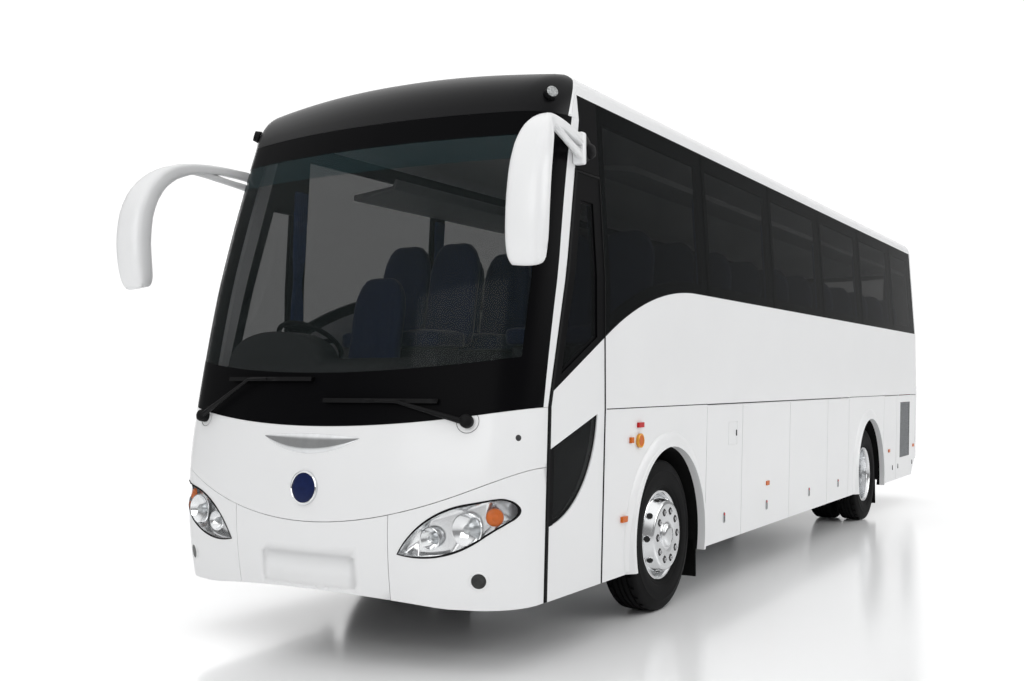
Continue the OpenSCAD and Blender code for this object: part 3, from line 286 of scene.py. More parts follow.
bordered_pane("rear_glass", lambda f: f.normal.y > 0.7, 0.06)
bordered_pane("door_glass", lambda f: f.normal.x > 0.7, 0.022)

# Passenger door: a plug door of sheet over a frame, white below and black above the sloping line that carries
# the glazing band forward. Rubber lips along its edges close the gap to the body.
rubber = finish_of("seal_rubber", (0.006, 0.006, 0.0065), 0.6, 30, 0.2, 0.1, 300, Specular_IOR_Level=0.1)
DOOR_REAR_Y = FRONT_AXLE - 1.005
DOOR_FOOT_Z, DOOR_TOP_Z = 0.342, 2.784
PILLAR_FOOT_Z, PILLAR_LEAN = 1.41, radians(15.9)
bm = panel_mesh("door_leaf")
slope_end, slope = Vector((0, DOOR_REAR_Y, 1.8175)), Vector((0, -0.3522, 0.72))
parted(bm, slope_end, slope)
for f in bm.faces:
    c = f.calc_center_median()
    f.material_index = int((c - slope_end).dot(slope) > 0 or c.x < 1.19 and c.z > 1.2)
shown_for("door_leaf", bm, [white_paint, enamel], flat_sides=True)


def pillar_y(z):
    """Front edge of the door opening, which leans back with the pillar above the windscreen's foot."""
    return FRONT_AXLE - 1.725 + max(0, z - PILLAR_FOOT_Z) * tan(PILLAR_LEAN)


def lip_along(bm, path, wide, thick):
    """A flat rubber lip on the door's outer face, swept along (y, z) points."""
    foot = [bm.verts.new((flank_x(path[0][1]) + t, path[0][0] + w, path[0][1]))
            for w, t in ((-wide, -0.001), (wide, -0.001), (wide * 0.6, thick), (-wide * 0.6, thick))]
    face = bm.faces.new(foot)
    for a, b in zip(path, path[1:]):
        rows = bmesh.ops.extrude_face_region(bm, geom=[face])["geom"]
        face = next(g for g in rows if isinstance(g, bmesh.types.BMFace))
        move = (flank_x(b[1]) - flank_x(a[1]), b[0] - a[0], b[1] - a[1])
        bmesh.ops.translate(bm, verts=face.verts[:], vec=move)


bm = bmesh.new()
front_edge = [(pillar_y(z) + 0.021, z) for z in (DOOR_FOOT_Z, SEAM_Z, PILLAR_FOOT_Z, WAIST_Z, DOOR_TOP_Z)]
lip_along(bm, front_edge, 0.019, 0.005)
rear_edge = [(DOOR_REAR_Y - 0.0065, z) for z in (DOOR_FOOT_Z, SEAM_Z, WAIST_Z, DOOR_TOP_Z)]
lip_along(bm, rear_edge, 0.006, 0.005)
head = bmesh.ops.create_cube(bm, size=1)["verts"]
head_y = (pillar_y(DOOR_TOP_Z), DOOR_REAR_Y - 0.005)
bmesh.ops.scale(bm, verts=head, vec=(0.006, head_y[1] - head_y[0], 0.013))
bmesh.ops.translate(bm, verts=head, vec=(flank_x(DOOR_TOP_Z + 0.002) + 0.002, sum(head_y) / 2, DOOR_TOP_Z))
bmesh.ops.bevel(bm, geom=[e for e in bm.edges if all(v in head for v in e.verts)], offset=0.002, segments=2,
                profile=0.5, affect="EDGES", material=-1)
bmesh.ops.recalc_face_normals(bm, faces=bm.faces)
piece(bm, "door_lips", rubber, "door", smooth=30)
bm = bmesh.new()
bmesh.ops.create_grid(bm, x_segments=6, y_segments=10, size=0.5)
CRESCENT_Y, CRESCENT_Z, CRESCENT_R = -1.74, 1.38, 0.63
for v in bm.verts:
    y = -1.678 + 0.07 * v.co.x
    low = CRESCENT_Z - (CRESCENT_R ** 2 - (y - CRESCENT_Y) ** 2) ** 0.5
    high = 1.19 + (y + 1.645) * 0.315
    z = low + (high - low) * (v.co.y + 0.5)
    v.co = (flank_x(z) + 0.001, FRONT_AXLE + y, z)
bmesh.ops.recalc_face_normals(bm, faces=bm.faces)
piece(bm, "door_crescent_enamel", enamel, "door")

# Arch flares: moulded lips bonded over the fixed panels round each wheel arch and painted white. They swell
# towards the opening and fade into the side.
FLARE_RISE = ((0.0, 0.001), (0.02, 0.0185), (0.07, 0.0225), (0.2, 0.024), (0.4, 0.0225), (0.62, 0.0175),
              (0.82, 0.011), (0.94, 0.0055), (1.0, 0.0003))
for s, side in sides:
    bm = bmesh.new()
    for y, r, reach in ((FRONT_AXLE, 0.602, 0.098), (REAR_AXLE, 0.622, 0.108)):
        line = [bm.verts.new((h, y - r - reach * t, HUB_Z)) for t, h in FLARE_RISE]
        edges = [bm.edges.new(pair) for pair in zip(line, line[1:])]
        hub = (0, y, HUB_Z)
        bmesh.ops.rotate(bm, verts=line, cent=hub, matrix=Matrix.Rotation(radians(13), 3, "X"))
        bmesh.ops.spin(bm, geom=line + edges, cent=hub, axis=(-1, 0, 0), angle=radians(206), steps=56)
    for v in bm.verts:
        v.co.z = max(v.co.z, SKIRT_Z + 0.001)
        v.co.x = s * (flank_x(v.co.z) + v.co.x)
    bmesh.ops.recalc_face_normals(bm, faces=bm.faces)
    if sum(f.normal.x for f in bm.faces) * s < 0:
        bmesh.ops.reverse_faces(bm, faces=bm.faces[:])
    piece(bm, f"arch_flares_{side}", white_paint, "body", smooth=50)

# Luggage and service flaps: sheet panels hung along their upper edge, with amber marker lamps, a filler lid
# drawn by its groove, and a grey vent with upright ribs in the last one.
amber = finish_of("amber_cover", (0.6, 0.125, 0.005), 0.3, 20, 0.12, Specular_IOR_Level=0.3)
vent_dark = finish_of("vent_dark", (0.02, 0.02, 0.021), 0.6, 12, 0.2)
vent_grey = finish_of("vent_grey", (0.24, 0.25, 0.26), 0.45, 12, 0.08, Metallic=0.3)
VENT_Y, VENT_Z = (7.455, 8.035), (0.598, 1.292)
RIBS = 19
RIB_FROM_Y, RIBS_WIDE = 7.4592, 0.5704
RIB_FOOT_Z, RIB_TALL = 0.602, 0.686


def flap_zone(c, n):
    """White sheet, amber lamp standing proud of it, or the dark bottom of the vent."""
    y = c.y - FRONT_AXLE
    if abs(c.x) > flank_x(c.z) + 0.002:
        return 1
    in_vent = VENT_Y[0] < y < VENT_Y[1] and VENT_Z[0] < c.z < VENT_Z[1]
    return 2 if in_vent and abs(c.x) < flank_x(c.z) - 0.0005 else 0


for s, side in sides:
    for k in range(1, 7):
        shell(f"flap_{side}_{k}", [white_paint, amber, vent_dark], flap_zone if k > 1 else None, flat_sides=True)
    bm = bmesh.new()
    for k in range(RIBS):
        y = FRONT_AXLE + RIB_FROM_Y + RIBS_WIDE * (k + 0.5) / RIBS
        rib = bmesh.ops.create_grid(bm, x_segments=1, y_segments=6, size=0.5)["verts"]
        for v in rib:
            z = RIB_FOOT_Z + RIB_TALL * (v.co.y + 0.5)
            v.co = (s * (flank_x(z) - 0.003), y + 0.017 * v.co.x, z)
    bmesh.ops.solidify(bm, geom=bm.faces[:], thickness=0.005)
    bmesh.ops.recalc_face_normals(bm, faces=bm.faces)
    piece(bm, f"vent_ribs_{side}", vent_grey, f"flap_{side}_6", smooth=30)
    # Painted seam shadow: a thin dark strip in the seal rubber finish, 0.4 mm proud of the side along the waist seam
    # ahead of the first flap and along the last two flaps, stands for the shade in the groove.
    bm = bmesh.new()
    for y0, y1 in ((-0.985 if s > 0 else -1.7, 0.705), (4.895, 6.545)):
        line = bmesh.ops.create_grid(bm, x_segments=12, y_segments=1, size=0.5)["verts"]
        for v in line:
            y = FRONT_AXLE + y0 + (y1 - y0) * (v.co.x + 0.5)
            v.co = (s * (HALF_WIDTH + 0.0004), y, SEAM_Z - 0.002 + 0.006 * v.co.y)
    bmesh.ops.recalc_face_normals(bm, faces=bm.faces)
    piece(bm, f"painted_seam_shadow_{side}", rubber, "body")

# Flap latches: pressed metal cups, oval, with a dark pull slot and a round red eye above it. The rear flaps and
# the filler lid have plain black locks.
pressed_metal = finish_of("pressed_metal", (0.5, 0.51, 0.52), 0.25, 30, 0.08, Metallic=1.0)
red_eye = finish_of("red_eye", (0.5, 0.008, 0.01), 0.3, 30, 0.08, Specular_IOR_Level=0.3)


def oval(bm, y, z, r, straight, low, high, s, number):
    """An oval boss on the side: raised by low to high, with a rounded edge."""
    count = len(bm.faces)
    ring = bmesh.ops.create_circle(bm, cap_ends=True, segments=20, radius=r,
                                   matrix=Matrix.Rotation(pi / 2, 4, "Y"))["verts"]
    for v in ring:
        v.co.z += copysign(straight, v.co.z)
        v.co.x = low
    top = bmesh.ops.extrude_face_region(bm, geom=[ring[0].link_faces[0]])["geom"]
    raised = [g for g in top if isinstance(g, bmesh.types.BMVert)]
    bmesh.ops.translate(bm, verts=raised, vec=(high - low, 0, 0))
    lid = [g for g in top if isinstance(g, bmesh.types.BMFace)]
    bmesh.ops.inset_region(bm, faces=lid, thickness=r * 0.3, depth=r * 0.06)
    fresh = list(bm.faces)[count:]
    for f in fresh:
        f.material_index = number
    for v in {v for f in fresh for v in f.verts}:
        v.co = (s * (flank_x(z) + v.co.x), y + v.co.y, z + v.co.z)


flap_edges = (0.71, 1.5, 2.78142, 4.04928, 4.89)
LATCH_Z = 0.512
for s, side in sides:
    for k in range(4):
        bm = bmesh.new()
        y = FRONT_AXLE + (flap_edges[k] + flap_edges[k + 1]) / 2
        oval(bm, y, LATCH_Z, 0.02, 0.021, -0.002, 0.006, s, 0)
        oval(bm, y, LATCH_Z - 0.009, 0.009, 0.016, 0.005, 0.0075, s, 1)
        oval(bm, y, LATCH_Z + 0.027, 0.0105, 0.0, 0.005, 0.009, s, 2)
        if k == 0 and s > 0:
            oval(bm, FRONT_AXLE + 1.352, 1.15, 0.008, 0.016, -0.002, 0.005, s, 1)
        bmesh.ops.recalc_face_normals(bm, faces=bm.faces)
        piece(bm, f"latch_{side}_{k + 1}", [pressed_metal, vent_dark, red_eye], f"flap_{side}_{k + 1}", smooth=35)
    for k, y in ((5, 7.05), (6, 7.36), (6, 8.22)):
        bm = bmesh.new()
        oval(bm, FRONT_AXLE + y, 0.5, 0.009, 0.02, -0.002, 0.005, s, 0)
        bmesh.ops.recalc_face_normals(bm, faces=bm.faces)
        piece(bm, f"lock_{side}_{round(y * 100)}", vent_dark, f"flap_{side}_{k}", smooth=35)

# Side lamps: moulded lenses on the fixed panels, red at the top and amber below, and a round indicator in a
# bright ring.
lamp_ring = finish_of("lamp_ring", (0.72, 0.33, 0.03), 0.3, 20, 0.06, Metallic=0.3)
RED_LENS_Z, INDICATOR_Z = 1.24, 1.172
shell("side_lamps", [amber, red_eye], lambda c, n: c.z > RED_LENS_Z)


def turned(bm, profile, place, axis, steps=32, number=0):
    """Spins (radius, height) points round an axis through place."""
    count = len(bm.faces)
    axis = Vector(axis).normalized()
    stand = Matrix.Translation(place) @ axis.to_track_quat("Z", "Y").to_matrix().to_4x4()
    line = [bm.verts.new(stand @ Vector((r, 0, h))) for r, h in profile]
    edges = [bm.edges.new(pair) for pair in zip(line, line[1:])]
    bmesh.ops.spin(bm, geom=line + edges, cent=place, axis=axis, angle=2 * pi, steps=steps, use_merge=True)
    for f in list(bm.faces)[count:]:
        f.material_index = number


def closed(bm):
    """Merges seams and poles and turns the faces outwards."""
    bmesh.ops.remove_doubles(bm, verts=bm.verts, dist=1e-5)
    bmesh.ops.dissolve_degenerate(bm, dist=1e-6, edges=bm.edges)
    bmesh.ops.recalc_face_normals(bm, faces=bm.faces)
    return bm


bm = bmesh.new()
for s, _ in sides:
    turned(bm, [(0.043, 0), (0.046, 0.004), (0.046, 0.019), (0.041, 0.0215), (0.036, 0.0195), (0.036, 0.018)],
           (s * flank_x(INDICATOR_Z), FRONT_AXLE - 0.505, INDICATOR_Z), (s, 0, 0))
piece(closed(bm), "indicator_rings", lamp_ring, "body", smooth=40)

# Headlamps: a clear moulded lens over a bright bowl, with a round main reflector, a small fluted one beside it
# and an amber indicator at the outer end. A black gasket runs round the lens.
bowl_chrome = finish_of("bowl_chrome", (0.82, 0.83, 0.84), 0.18, 9, 0.15, Metallic=0.85)
dish_chrome = finish_of("dish_chrome", (0.86, 0.87, 0.88), 0.1, 14, 0.05, Metallic=1.0)
clear_lens = finish_of("clear_lens", (0.25, 0.26, 0.27), 0.03, 6, 0.03, Alpha=0.08)


def faces_out(f):
    """True for the faces of a headlamp that are its lens."""
    way = Vector((copysign(0.5, f.calc_center_median().x), -1, 0)).normalized()
    return f.normal.dot(way) > 0.6


front_skin = bmesh.new()
for n in ("bumper", "front_panel", "headlamps", "windscreen", "dome", "fog_lamps"):
    front_skin.from_mesh(frame["nodes"][n].data)
front_tree = BVHTree.FromBMesh(front_skin)
front_skin.free()


def front_at(x, z):
    """Place and outward direction of the coach's front at a spot seen from straight ahead."""
    for aside in (0, 0.0016, -0.0016, 0.004, -0.004, 0.009, -0.009):
        spot, out, _, _ = front_tree.ray_cast(Vector((x + aside, -8, z + aside)), Vector((0, 1, 0)))
        if spot and abs(out.y) > 0.05:
            return spot, (out if out.y < 0 else -out)


bm = panel_mesh("headlamps")
bmesh.ops.delete(bm, geom=[f for f in bm.faces if not faces_out(f)], context="FACES")
shown_for("headlamps", bm, clear_lens)
LENS_X, LENS_Z, LENS_LEAN = 0.91, 0.762, radians(24)
LENS_MID, LENS_HALF = -0.0083, 0.3292
EYE_R, EYE_DROP = 0.5626, 0.4501
END_AT, END_R = 0.2545, 0.0664
BRIDGE_AT = 0.1


def lamp_edge(turn, shrink):
    """A point of the lens outline, an eye shape with a round outer end, in from the edge by a share."""
    along = LENS_MID + LENS_HALF * cos(turn)
    arc = (EYE_R ** 2 - along ** 2) ** 0.5 - EYE_DROP
    end = max(0, END_R ** 2 - (along - END_AT) ** 2) ** 0.5 if along > END_AT else 0
    bridge = 0.1035 - 0.222 * (along - BRIDGE_AT) if BRIDGE_AT < along <= END_AT else 0
    over = copysign(max(0 if along > END_AT else arc, end, bridge), sin(turn))
    along, over = along * (1 - 0.3 * shrink), over * (1 - 1.2 * shrink)
    return (LENS_X + along * cos(LENS_LEAN) - over * sin(LENS_LEAN),
            LENS_Z + along * sin(LENS_LEAN) + over * cos(LENS_LEAN))


bm = bmesh.new()
for s, _ in sides:
    strip = bmesh.ops.create_grid(bm, x_segments=96, y_segments=3, size=0.5)["verts"]
    for v in strip:
        x, z = lamp_edge(2 * pi * v.co.x + pi, 0.09 * (v.co.y + 0.5) - 0.02)
        spot, out = front_at(s * x, z)
        v.co = spot + out * (0.001 + 0.003 * (1 - (2 * v.co.y) ** 2))
bmesh.ops.remove_doubles(bm, verts=bm.verts, dist=1e-4)
bmesh.ops.recalc_face_normals(bm, faces=bm.faces)
piece(bm, "lamp_gaskets", rubber, "body", smooth=50)

bm = panel_mesh("headlamps")
bmesh.ops.delete(bm, geom=[f for f in bm.faces if faces_out(f)], context="FACES")
bmesh.ops.reverse_faces(bm, faces=bm.faces[:])
piece(bm, "lamp_bowls", bowl_chrome, "body", smooth=32)

dishes, bulbs = bmesh.new(), bmesh.new()
for s, _ in sides:
    for x, z, r in ((0.985, 0.768, 0.084), (0.785, 0.714, 0.056)):
        spot, out = front_at(s * x, z)
        ahead = (out + Vector((0, -1.6, 0))).normalized()
        back = spot - out * 0.018
        turned(dishes, [(0.0, -0.036), (r * 0.3, -0.034), (r * 0.62, -0.026), (r * 0.9, -0.008), (r, 0.0),
                        (r * 1.07, -0.001), (r * 1.09, -0.006)], back, ahead, 28)
        turned(bulbs, [(0.0, 0.004), (r * 0.2, 0.001), (r * 0.31, -0.01), (r * 0.34, -0.034)], back, ahead, 20)
piece(closed(dishes), "lamp_dishes", dish_chrome, "body", smooth=40)
piece(closed(bulbs), "lamp_bulbs", finish_of("bulb_glass", (0.55, 0.57, 0.58), 0.05, 30, 0.2, Metallic=0.6),
      "body", smooth=40)
bm = bmesh.new()
for s, _ in sides:
    spot, out = front_at(s * 1.125, 0.832)
    back = spot - out * 0.012
    turned(bm, [(0.0, -0.006), (0.03, -0.007), (0.043, -0.011), (0.047, -0.017), (0.048, -0.03)], back, out, 28)
    turned(bm, [(0.0, -0.0005), (0.014, -0.002), (0.018, -0.005), (0.019, -0.02)], back, out, 18)
piece(closed(bm), "lamp_indicators", amber, "body", smooth=40)

# Fog lamps and roof markers: a round dark lens in each bumper corner and a short black lamp with a clear
# face on each shoulder of the dome.
black_plastic = finish_of("black_plastic", (0.0045, 0.0045, 0.005), 0.5, 20, 0.15, 0.1, 500, Specular_IOR_Level=0.12)
fog_glass = finish_of("fog_glass", (0.016, 0.018, 0.017), 0.12, 40, 0.5, Specular_IOR_Level=0.35)


def lamp_zone(c, n):
    """Fog lamp, marker housing or marker lens."""
    if c.z < 1:
        return 0
    return 2 if n.dot(Vector((copysign(0.45, c.x), -0.6, 0.66)).normalized()) > 0.8 else 1


marker_glass = finish_of("marker_glass", (0.36, 0.37, 0.37), 0.25, 90, 0.45, Specular_IOR_Level=0.4)
shell("fog_lamps", [fog_glass, black_plastic, marker_glass], lamp_zone)
bm = bmesh.new()
for s, _ in sides:
    spot, out = front_at(s * 1.04, 0.5)
    turned(bm, [(0.040, -0.001), (0.042, 0.003), (0.047, 0.004), (0.052, 0.001), (0.053, -0.002)], spot, out, 32)
piece(closed(bm), "fog_rings", white_paint, "body", smooth=50)

# Front trim: a lens-shaped plate of bright pressed metal under the windscreen, a plain dark blue disc in a bright
# ring below it, and a small sensor eye, all fixed to the front panel.
trim_chrome = finish_of("trim_chrome", (0.72, 0.73, 0.74), 0.1, 10, 0.06, Metallic=1.0)
disc_blue = finish_of("disc_blue", (0.004, 0.011, 0.06), 0.25, 25, 0.15, Specular_IOR_Level=0.25)
bm = bmesh.new()
bmesh.ops.create_grid(bm, x_segments=44, y_segments=8, size=0.5)
for v in bm.verts:
    a, b = 2 * v.co.x, 2 * v.co.y
    x = 0.345 * a
    top, foot = 1.238 + 0.018 * (1 - a * a), 1.236 - 0.088 * (1 - a * a)
    spot, out = front_at(x, foot + (top - foot) * (b + 1) / 2)
    v.co = spot + out * (0.002 + 0.011 * (1 - a * a) * (1 - b ** 4))
bmesh.ops.remove_doubles(bm, verts=bm.verts, dist=1e-5)
bmesh.ops.recalc_face_normals(bm, faces=bm.faces)
bmesh.ops.solidify(bm, geom=bm.faces[:], thickness=0.003)
piece(bm, "front_nameplate_blank", trim_chrome, "body", smooth=50)

spot, out = front_at(0.0, 0.956)
bm = bmesh.new()
turned(bm, [(0.083, 0.002), (0.084, 0.009), (0.089, 0.012), (0.095, 0.009), (0.098, -0.003)], spot, out, 48, 0)
turned(bm, [(0.0, 0.0075), (0.04, 0.007), (0.07, 0.005), (0.085, 0.003)], spot, out, 48, 1)
piece(closed(bm), "front_disc", [trim_chrome, disc_blue], "body", smooth=40)
spot, out = front_at(1.195, 1.25)
bm = bmesh.new()
turned(bm, [(0.0, 0.006), (0.01, 0.005), (0.016, 0.002), (0.018, -0.002)], spot, out, 20)
piece(closed(bm), "sensor_eye", vent_dark, "body", smooth=40)

# Wipers: black arms with long blades, parked along the foot of the windscreen, and domed caps over their
# pivots.
WIPER_X, WIPER_Z = 0.9615, 1.335
shell("wipers", black_plastic, smooth=40)
bm = bmesh.new()
for s, _ in sides:
    spot, out = front_at(s * WIPER_X, WIPER_Z)
    turned(bm, [(0.0, 0.066), (0.018, 0.064), (0.031, 0.056), (0.037, 0.042), (0.037, 0.012), (0.034, 0.0)],
           spot, out, 28)
    seam = [front_at(s * WIPER_X + 0.058 * cos(a * pi / 18), WIPER_Z + 0.058 * sin(a * pi / 18)) for a in range(36)]
    ring = [bm.verts.new(p + o * 0.0008) for p, o in seam]
    band = bmesh.ops.extrude_edge_only(bm, edges=[bm.edges.new((ring[a - 1], ring[a])) for a in range(36)])["geom"]
    wider = [g for g in band if isinstance(g, bmesh.types.BMVert)]
    bmesh.ops.scale(bm, verts=wider, vec=(1.05, 1, 1.05), space=Matrix.Translation((s * -WIPER_X, 0, -WIPER_Z)))
    bmesh.ops.translate(bm, verts=wider, vec=out * 0.0015)
piece(closed(bm), "wiper_caps", black_plastic, "body", smooth=40)

# Mirrors: white moulded heads on forked arms that grow out of black joints on the pillars, each with a domed
# cap. The glass lies in a black bezel on the head's rear.
mirror_glass = finish_of("mirror_glass", (0.72, 0.75, 0.78), 0.03, 3, 0.03, Metallic=1.0)
joint_x, joint_y = flank_x(2.91), FRONT_AXLE - 1.3227
GLASS_X, GLASS_Z = 1.447, 2.42


def mirror_zone(c, n):
    """True inside the black joint on the pillar."""
    return abs(c.x) < flank_x(c.z) + 0.0725 and joint_y + 0.016 < c.y < joint_y + 0.123 and 2.825 < c.z < 2.995


heads = shell("mirrors", [white_paint, black_plastic], mirror_zone, smooth=50)
softer = heads.modifiers.new("moulded", "SUBSURF")
softer.levels = softer.render_levels = 1
bm = bmesh.new()
for s, _ in sides:
    turned(bm, [(0.0, 0.03), (0.02, 0.028), (0.037, 0.02), (0.046, 0.006), (0.047, -0.004)],
           (s * (joint_x + 0.069), joint_y + 0.07, 2.9), (s, 0, 0), 28)
piece(closed(bm), "mirror_joint_caps", black_plastic, "body", smooth=40)
bm = bmesh.new()
for s, _ in sides:
    plate = bmesh.ops.create_cube(bm, size=1)["verts"]
    bmesh.ops.scale(bm, verts=plate, vec=(0.07, 0.056, 0.19))
    bmesh.ops.translate(bm, verts=plate, vec=(s * (joint_x + 0.04), joint_y - 0.012, 2.905))
bmesh.ops.bevel(bm, geom=bm.edges[:], offset=0.014, segments=3, profile=0.5, affect="EDGES", material=-1)
piece(bm, "mirror_arm_ends", white_paint, "body", smooth=40)
head_bm = panel_mesh("mirrors")
head_tree = BVHTree.FromBMesh(head_bm)
head_bm.free()
bm = bmesh.new()
for s, _ in sides:
    for half_w, half_h, lift, number in ((0.078, 0.235, 0.003, 0), (0.068, 0.222, 0.006, 1)):
        count = len(bm.faces)
        pane = bmesh.ops.create_grid(bm, x_segments=8, y_segments=14, size=0.5)["verts"]
        for v in pane:
            a, b = 2 * v.co.x, 2 * v.co.y
            round_in = 1 - 0.14 * abs(b) ** 8
            x, z = s * (GLASS_X + half_w * a * round_in), GLASS_Z + half_h * b * (1 - 0.05 * abs(a) ** 6)
            hit = head_tree.ray_cast(Vector((x, -4.4, z)), Vector((0, -1, 0)))[0]
            v.co = (hit or Vector((x, -5.3, z))) + Vector((0, lift, 0))
        for f in list(bm.faces)[count:]:
            f.material_index = number
        if number == 0:
            bmesh.ops.solidify(bm, geom=list(bm.faces)[count:], thickness=0.002)
bmesh.ops.recalc_face_normals(bm, faces=bm.faces)
piece(bm, "mirror_panes", [black_plastic, mirror_glass], "body", smooth=40)

# Rear: tail lamps in amber, red and clear fields, louvres pressed into the engine lid, and the white wall with
# its lower corners.
red_cover = finish_of("red_cover", (0.42, 0.012, 0.012), 0.1, 30, 0.12, Coat_Weight=0.5)
shell("rear_wall", white_paint)
shell("engine_lid", white_paint)
bm = panel_mesh("tail_lamps")
REAR_Y = 5.5
RED_FROM, AMBER_FROM = 1.17, 1.43
for z in (RED_FROM, AMBER_FROM):
    parted(bm, (0, 0, z), (0, 0, 1))
for f in bm.faces:
    z = f.calc_center_median().z
    f.material_index = 1 if z > AMBER_FROM else 0 if z > RED_FROM else 2
shown_for("tail_lamps", bm, [red_cover, amber, bowl_chrome])
bm = bmesh.new()
for x in (-0.4, 0.4):
    for k in range(9):
        z = 0.98 + 0.045 * k
        slat = bmesh.ops.create_grid(bm, x_segments=6, y_segments=2, size=0.5)["verts"]
        for v in slat:
            v.co = (x + 0.56 * v.co.x, REAR_Y + 0.001 - 0.008 * (v.co.y + 0.5) * (1 - (2 * v.co.x) ** 6),
                    z + 0.026 * v.co.y)
bmesh.ops.solidify(bm, geom=bm.faces[:], thickness=0.003)
bmesh.ops.recalc_face_normals(bm, faces=bm.faces)
piece(bm, "lid_louvres", vent_dark, "engine_lid", smooth=30)

# Tyres: vulcanised black rubber with ribs and grooves round the tread, slots across its shoulders and raised
# rings on the sidewalls.
tyre_rubber = finish_of("tyre_rubber", (0.004, 0.004, 0.0043), 0.65, 14, 0.2, 0.2, 300, Specular_IOR_Level=0.1)
TYRE_LINE = [(0.288, 0.092), (0.303, 0.093), (0.314, 0.107), (0.33, 0.1165), (0.336, 0.1165), (0.339, 0.1195),
             (0.35, 0.1225), (0.375, 0.1265), (0.4, 0.1272), (0.428, 0.1245), (0.434, 0.1262), (0.44, 0.123),
             (0.47, 0.117), (0.486, 0.112), (0.497, 0.106), (0.504, 0.098), (0.5065, 0.09)]
TREAD = [(0.507, 0.064), (0.495, 0.061), (0.495, 0.053), (0.508, 0.05), (0.508, 0.024), (0.496, 0.021),
         (0.496, 0.013), (0.509, 0.01)]
TYRE_STEPS, SLOT_DEPTH = 96, 0.009


def add_tyre(bm, x, y):
    """One tyre, its middle at x and its axle at y; every third field of the shoulders is a slot."""
    half = TYRE_LINE + TREAD
    line = half + [(r, -w) for r, w in reversed(half)]
    count = len(bm.faces)
    turned(bm, line, (x, y, HUB_Z), (1, 0, 0), TYRE_STEPS)
    hub = Vector((x, y, HUB_Z))
    slots = []
    for f in list(bm.faces)[count:]:
        c = f.calc_center_median() - hub
        turn = round((Vector((c.y, c.z)).angle_signed(Vector((1, 0))) / (2 * pi) * TYRE_STEPS) - 0.5)
        if 0.066 < abs(c.x) < 0.0885 and Vector((c.y, c.z)).length > 0.5 and turn % 3 == 0:
            slots.append(f)
    cut = bmesh.ops.extrude_discrete_faces(bm, faces=slots)["faces"]
    for f in cut:
        c = f.calc_center_median() - hub
        bmesh.ops.translate(bm, verts=f.verts[:], vec=Vector((0, c.y, c.z)).normalized() * -SLOT_DEPTH)


WHEEL_X, INNER_WHEEL_X = 1.07, 0.77
for s, side in sides:
    bm = bmesh.new()
    add_tyre(bm, s * WHEEL_X, FRONT_AXLE)
    bmesh.ops.recalc_face_normals(bm, faces=bm.faces)
    shown_for(f"front_tyre_{side}", bm, tyre_rubber, 35)
    bm = bmesh.new()
    add_tyre(bm, s * WHEEL_X, REAR_AXLE)
    add_tyre(bm, s * INNER_WHEEL_X, REAR_AXLE)
    bmesh.ops.recalc_face_normals(bm, faces=bm.faces)
    shown_for(f"rear_tyres_{side}", bm, tyre_rubber, 35)

# Wheel discs: forged light alloy, turned and polished. Ten hand holes with rolled edges are drawn on the wall of each
# disc as painted shade, a flat dark disc inside each rolled edge; ten nuts hold it, each on a flat dark ring of
# painted shade, and a domed cap closes the hub; the rear pair is dished inwards round its hub.
polished = finish_of("polished_alloy", (0.74, 0.75, 0.76), 0.13, 6, 0.05, 0.01, 400, Metallic=1.0)
painted_hole_and_nut_shade = finish_of("painted_hole_and_nut_shade", (0.01, 0.01, 0.01), 0.7, 12, 0.2)
nut_steel = finish_of("nut_steel", (0.5, 0.5, 0.51), 0.25, 40, 0.1, Metallic=1.0)
BARREL = [(0.268, -0.104), (0.3, -0.104), (0.3, -0.093), (0.287, -0.091), (0.287, 0.091), (0.3, 0.0935),
          (0.3015, 0.101), (0.297, 0.1045), (0.286, 0.1035), (0.277, 0.095), (0.27, 0.07)]
FRONT_DISC = [(0.2685, 0.074), (0.264, 0.077), (0.259, 0.082), (0.235, 0.141), (0.23, 0.15), (0.221, 0.155),
              (0.205, 0.1565), (0.115, 0.156), (0.1, 0.151), (0.082, 0.151), (0.078, 0.154), (0.075, 0.163),
              (0.067, 0.169), (0.04, 0.1725), (0.0, 0.1735)]
REAR_DISC = [(0.267, -0.02), (0.262, -0.05), (0.25, -0.064), (0.21, -0.12), (0.19, -0.131), (0.125, -0.133),
             (0.114, -0.12), (0.112, 0.0), (0.107, 0.014), (0.09, 0.022), (0.04, 0.0275), (0.0, 0.028)]
HAND_HOLES = NUTS = 10


def around(count, r):
    """Evenly spaced points on a circle."""
    return [(r * cos(2 * pi * k / count), r * sin(2 * pi * k / count)) for k in range(count)]


def add_wheel(bm, s, x, y, disc, hole_ring, nut_ring):
    """One wheel; the rings are (radius, height along the axle, lean of the wall there)."""
    hub = Vector((x, y, HUB_Z))
    turned(bm, BARREL + disc, hub, (s, 0, 0), 80, 0)
    r, h, lean = hole_ring
    for a, b in around(HAND_HOLES, r):
        out = (Vector((s, 0, 0)) + lean * Vector((0, a, b)) / r).normalized()
        spot = hub + Vector((s * h, a, b))
        # Painted shade: a flat dark disc fills the hand hole in place of an opening.
        turned(bm, [(0.0, 0.003), (0.013, 0.003), (0.0215, 0.0024)], spot, out, 18, 1)
        turned(bm, [(0.0208, 0.0), (0.0215, 0.0035), (0.0225, 0.0043), (0.024, 0.003), (0.025, -0.002)], spot, out,
               18, 0)
    r, h, _ = nut_ring
    for a, b in around(NUTS, r):
        spot = hub + Vector((s * h, a, b))
        # Painted shade: a flat dark ring round the foot of the nut.
        turned(bm, [(0.0, 0.0008), (0.016, 0.0008), (0.026, 0.0006)], spot, (s, 0, 0), 14, 1)
        turned(bm, [(0.014, 0.0), (0.014, 0.008), (0.012, 0.0105), (0.0075, 0.011), (0.007, 0.015), (0.0, 0.016)],
               spot, (s, 0, 0), 6, 2)
    return bm


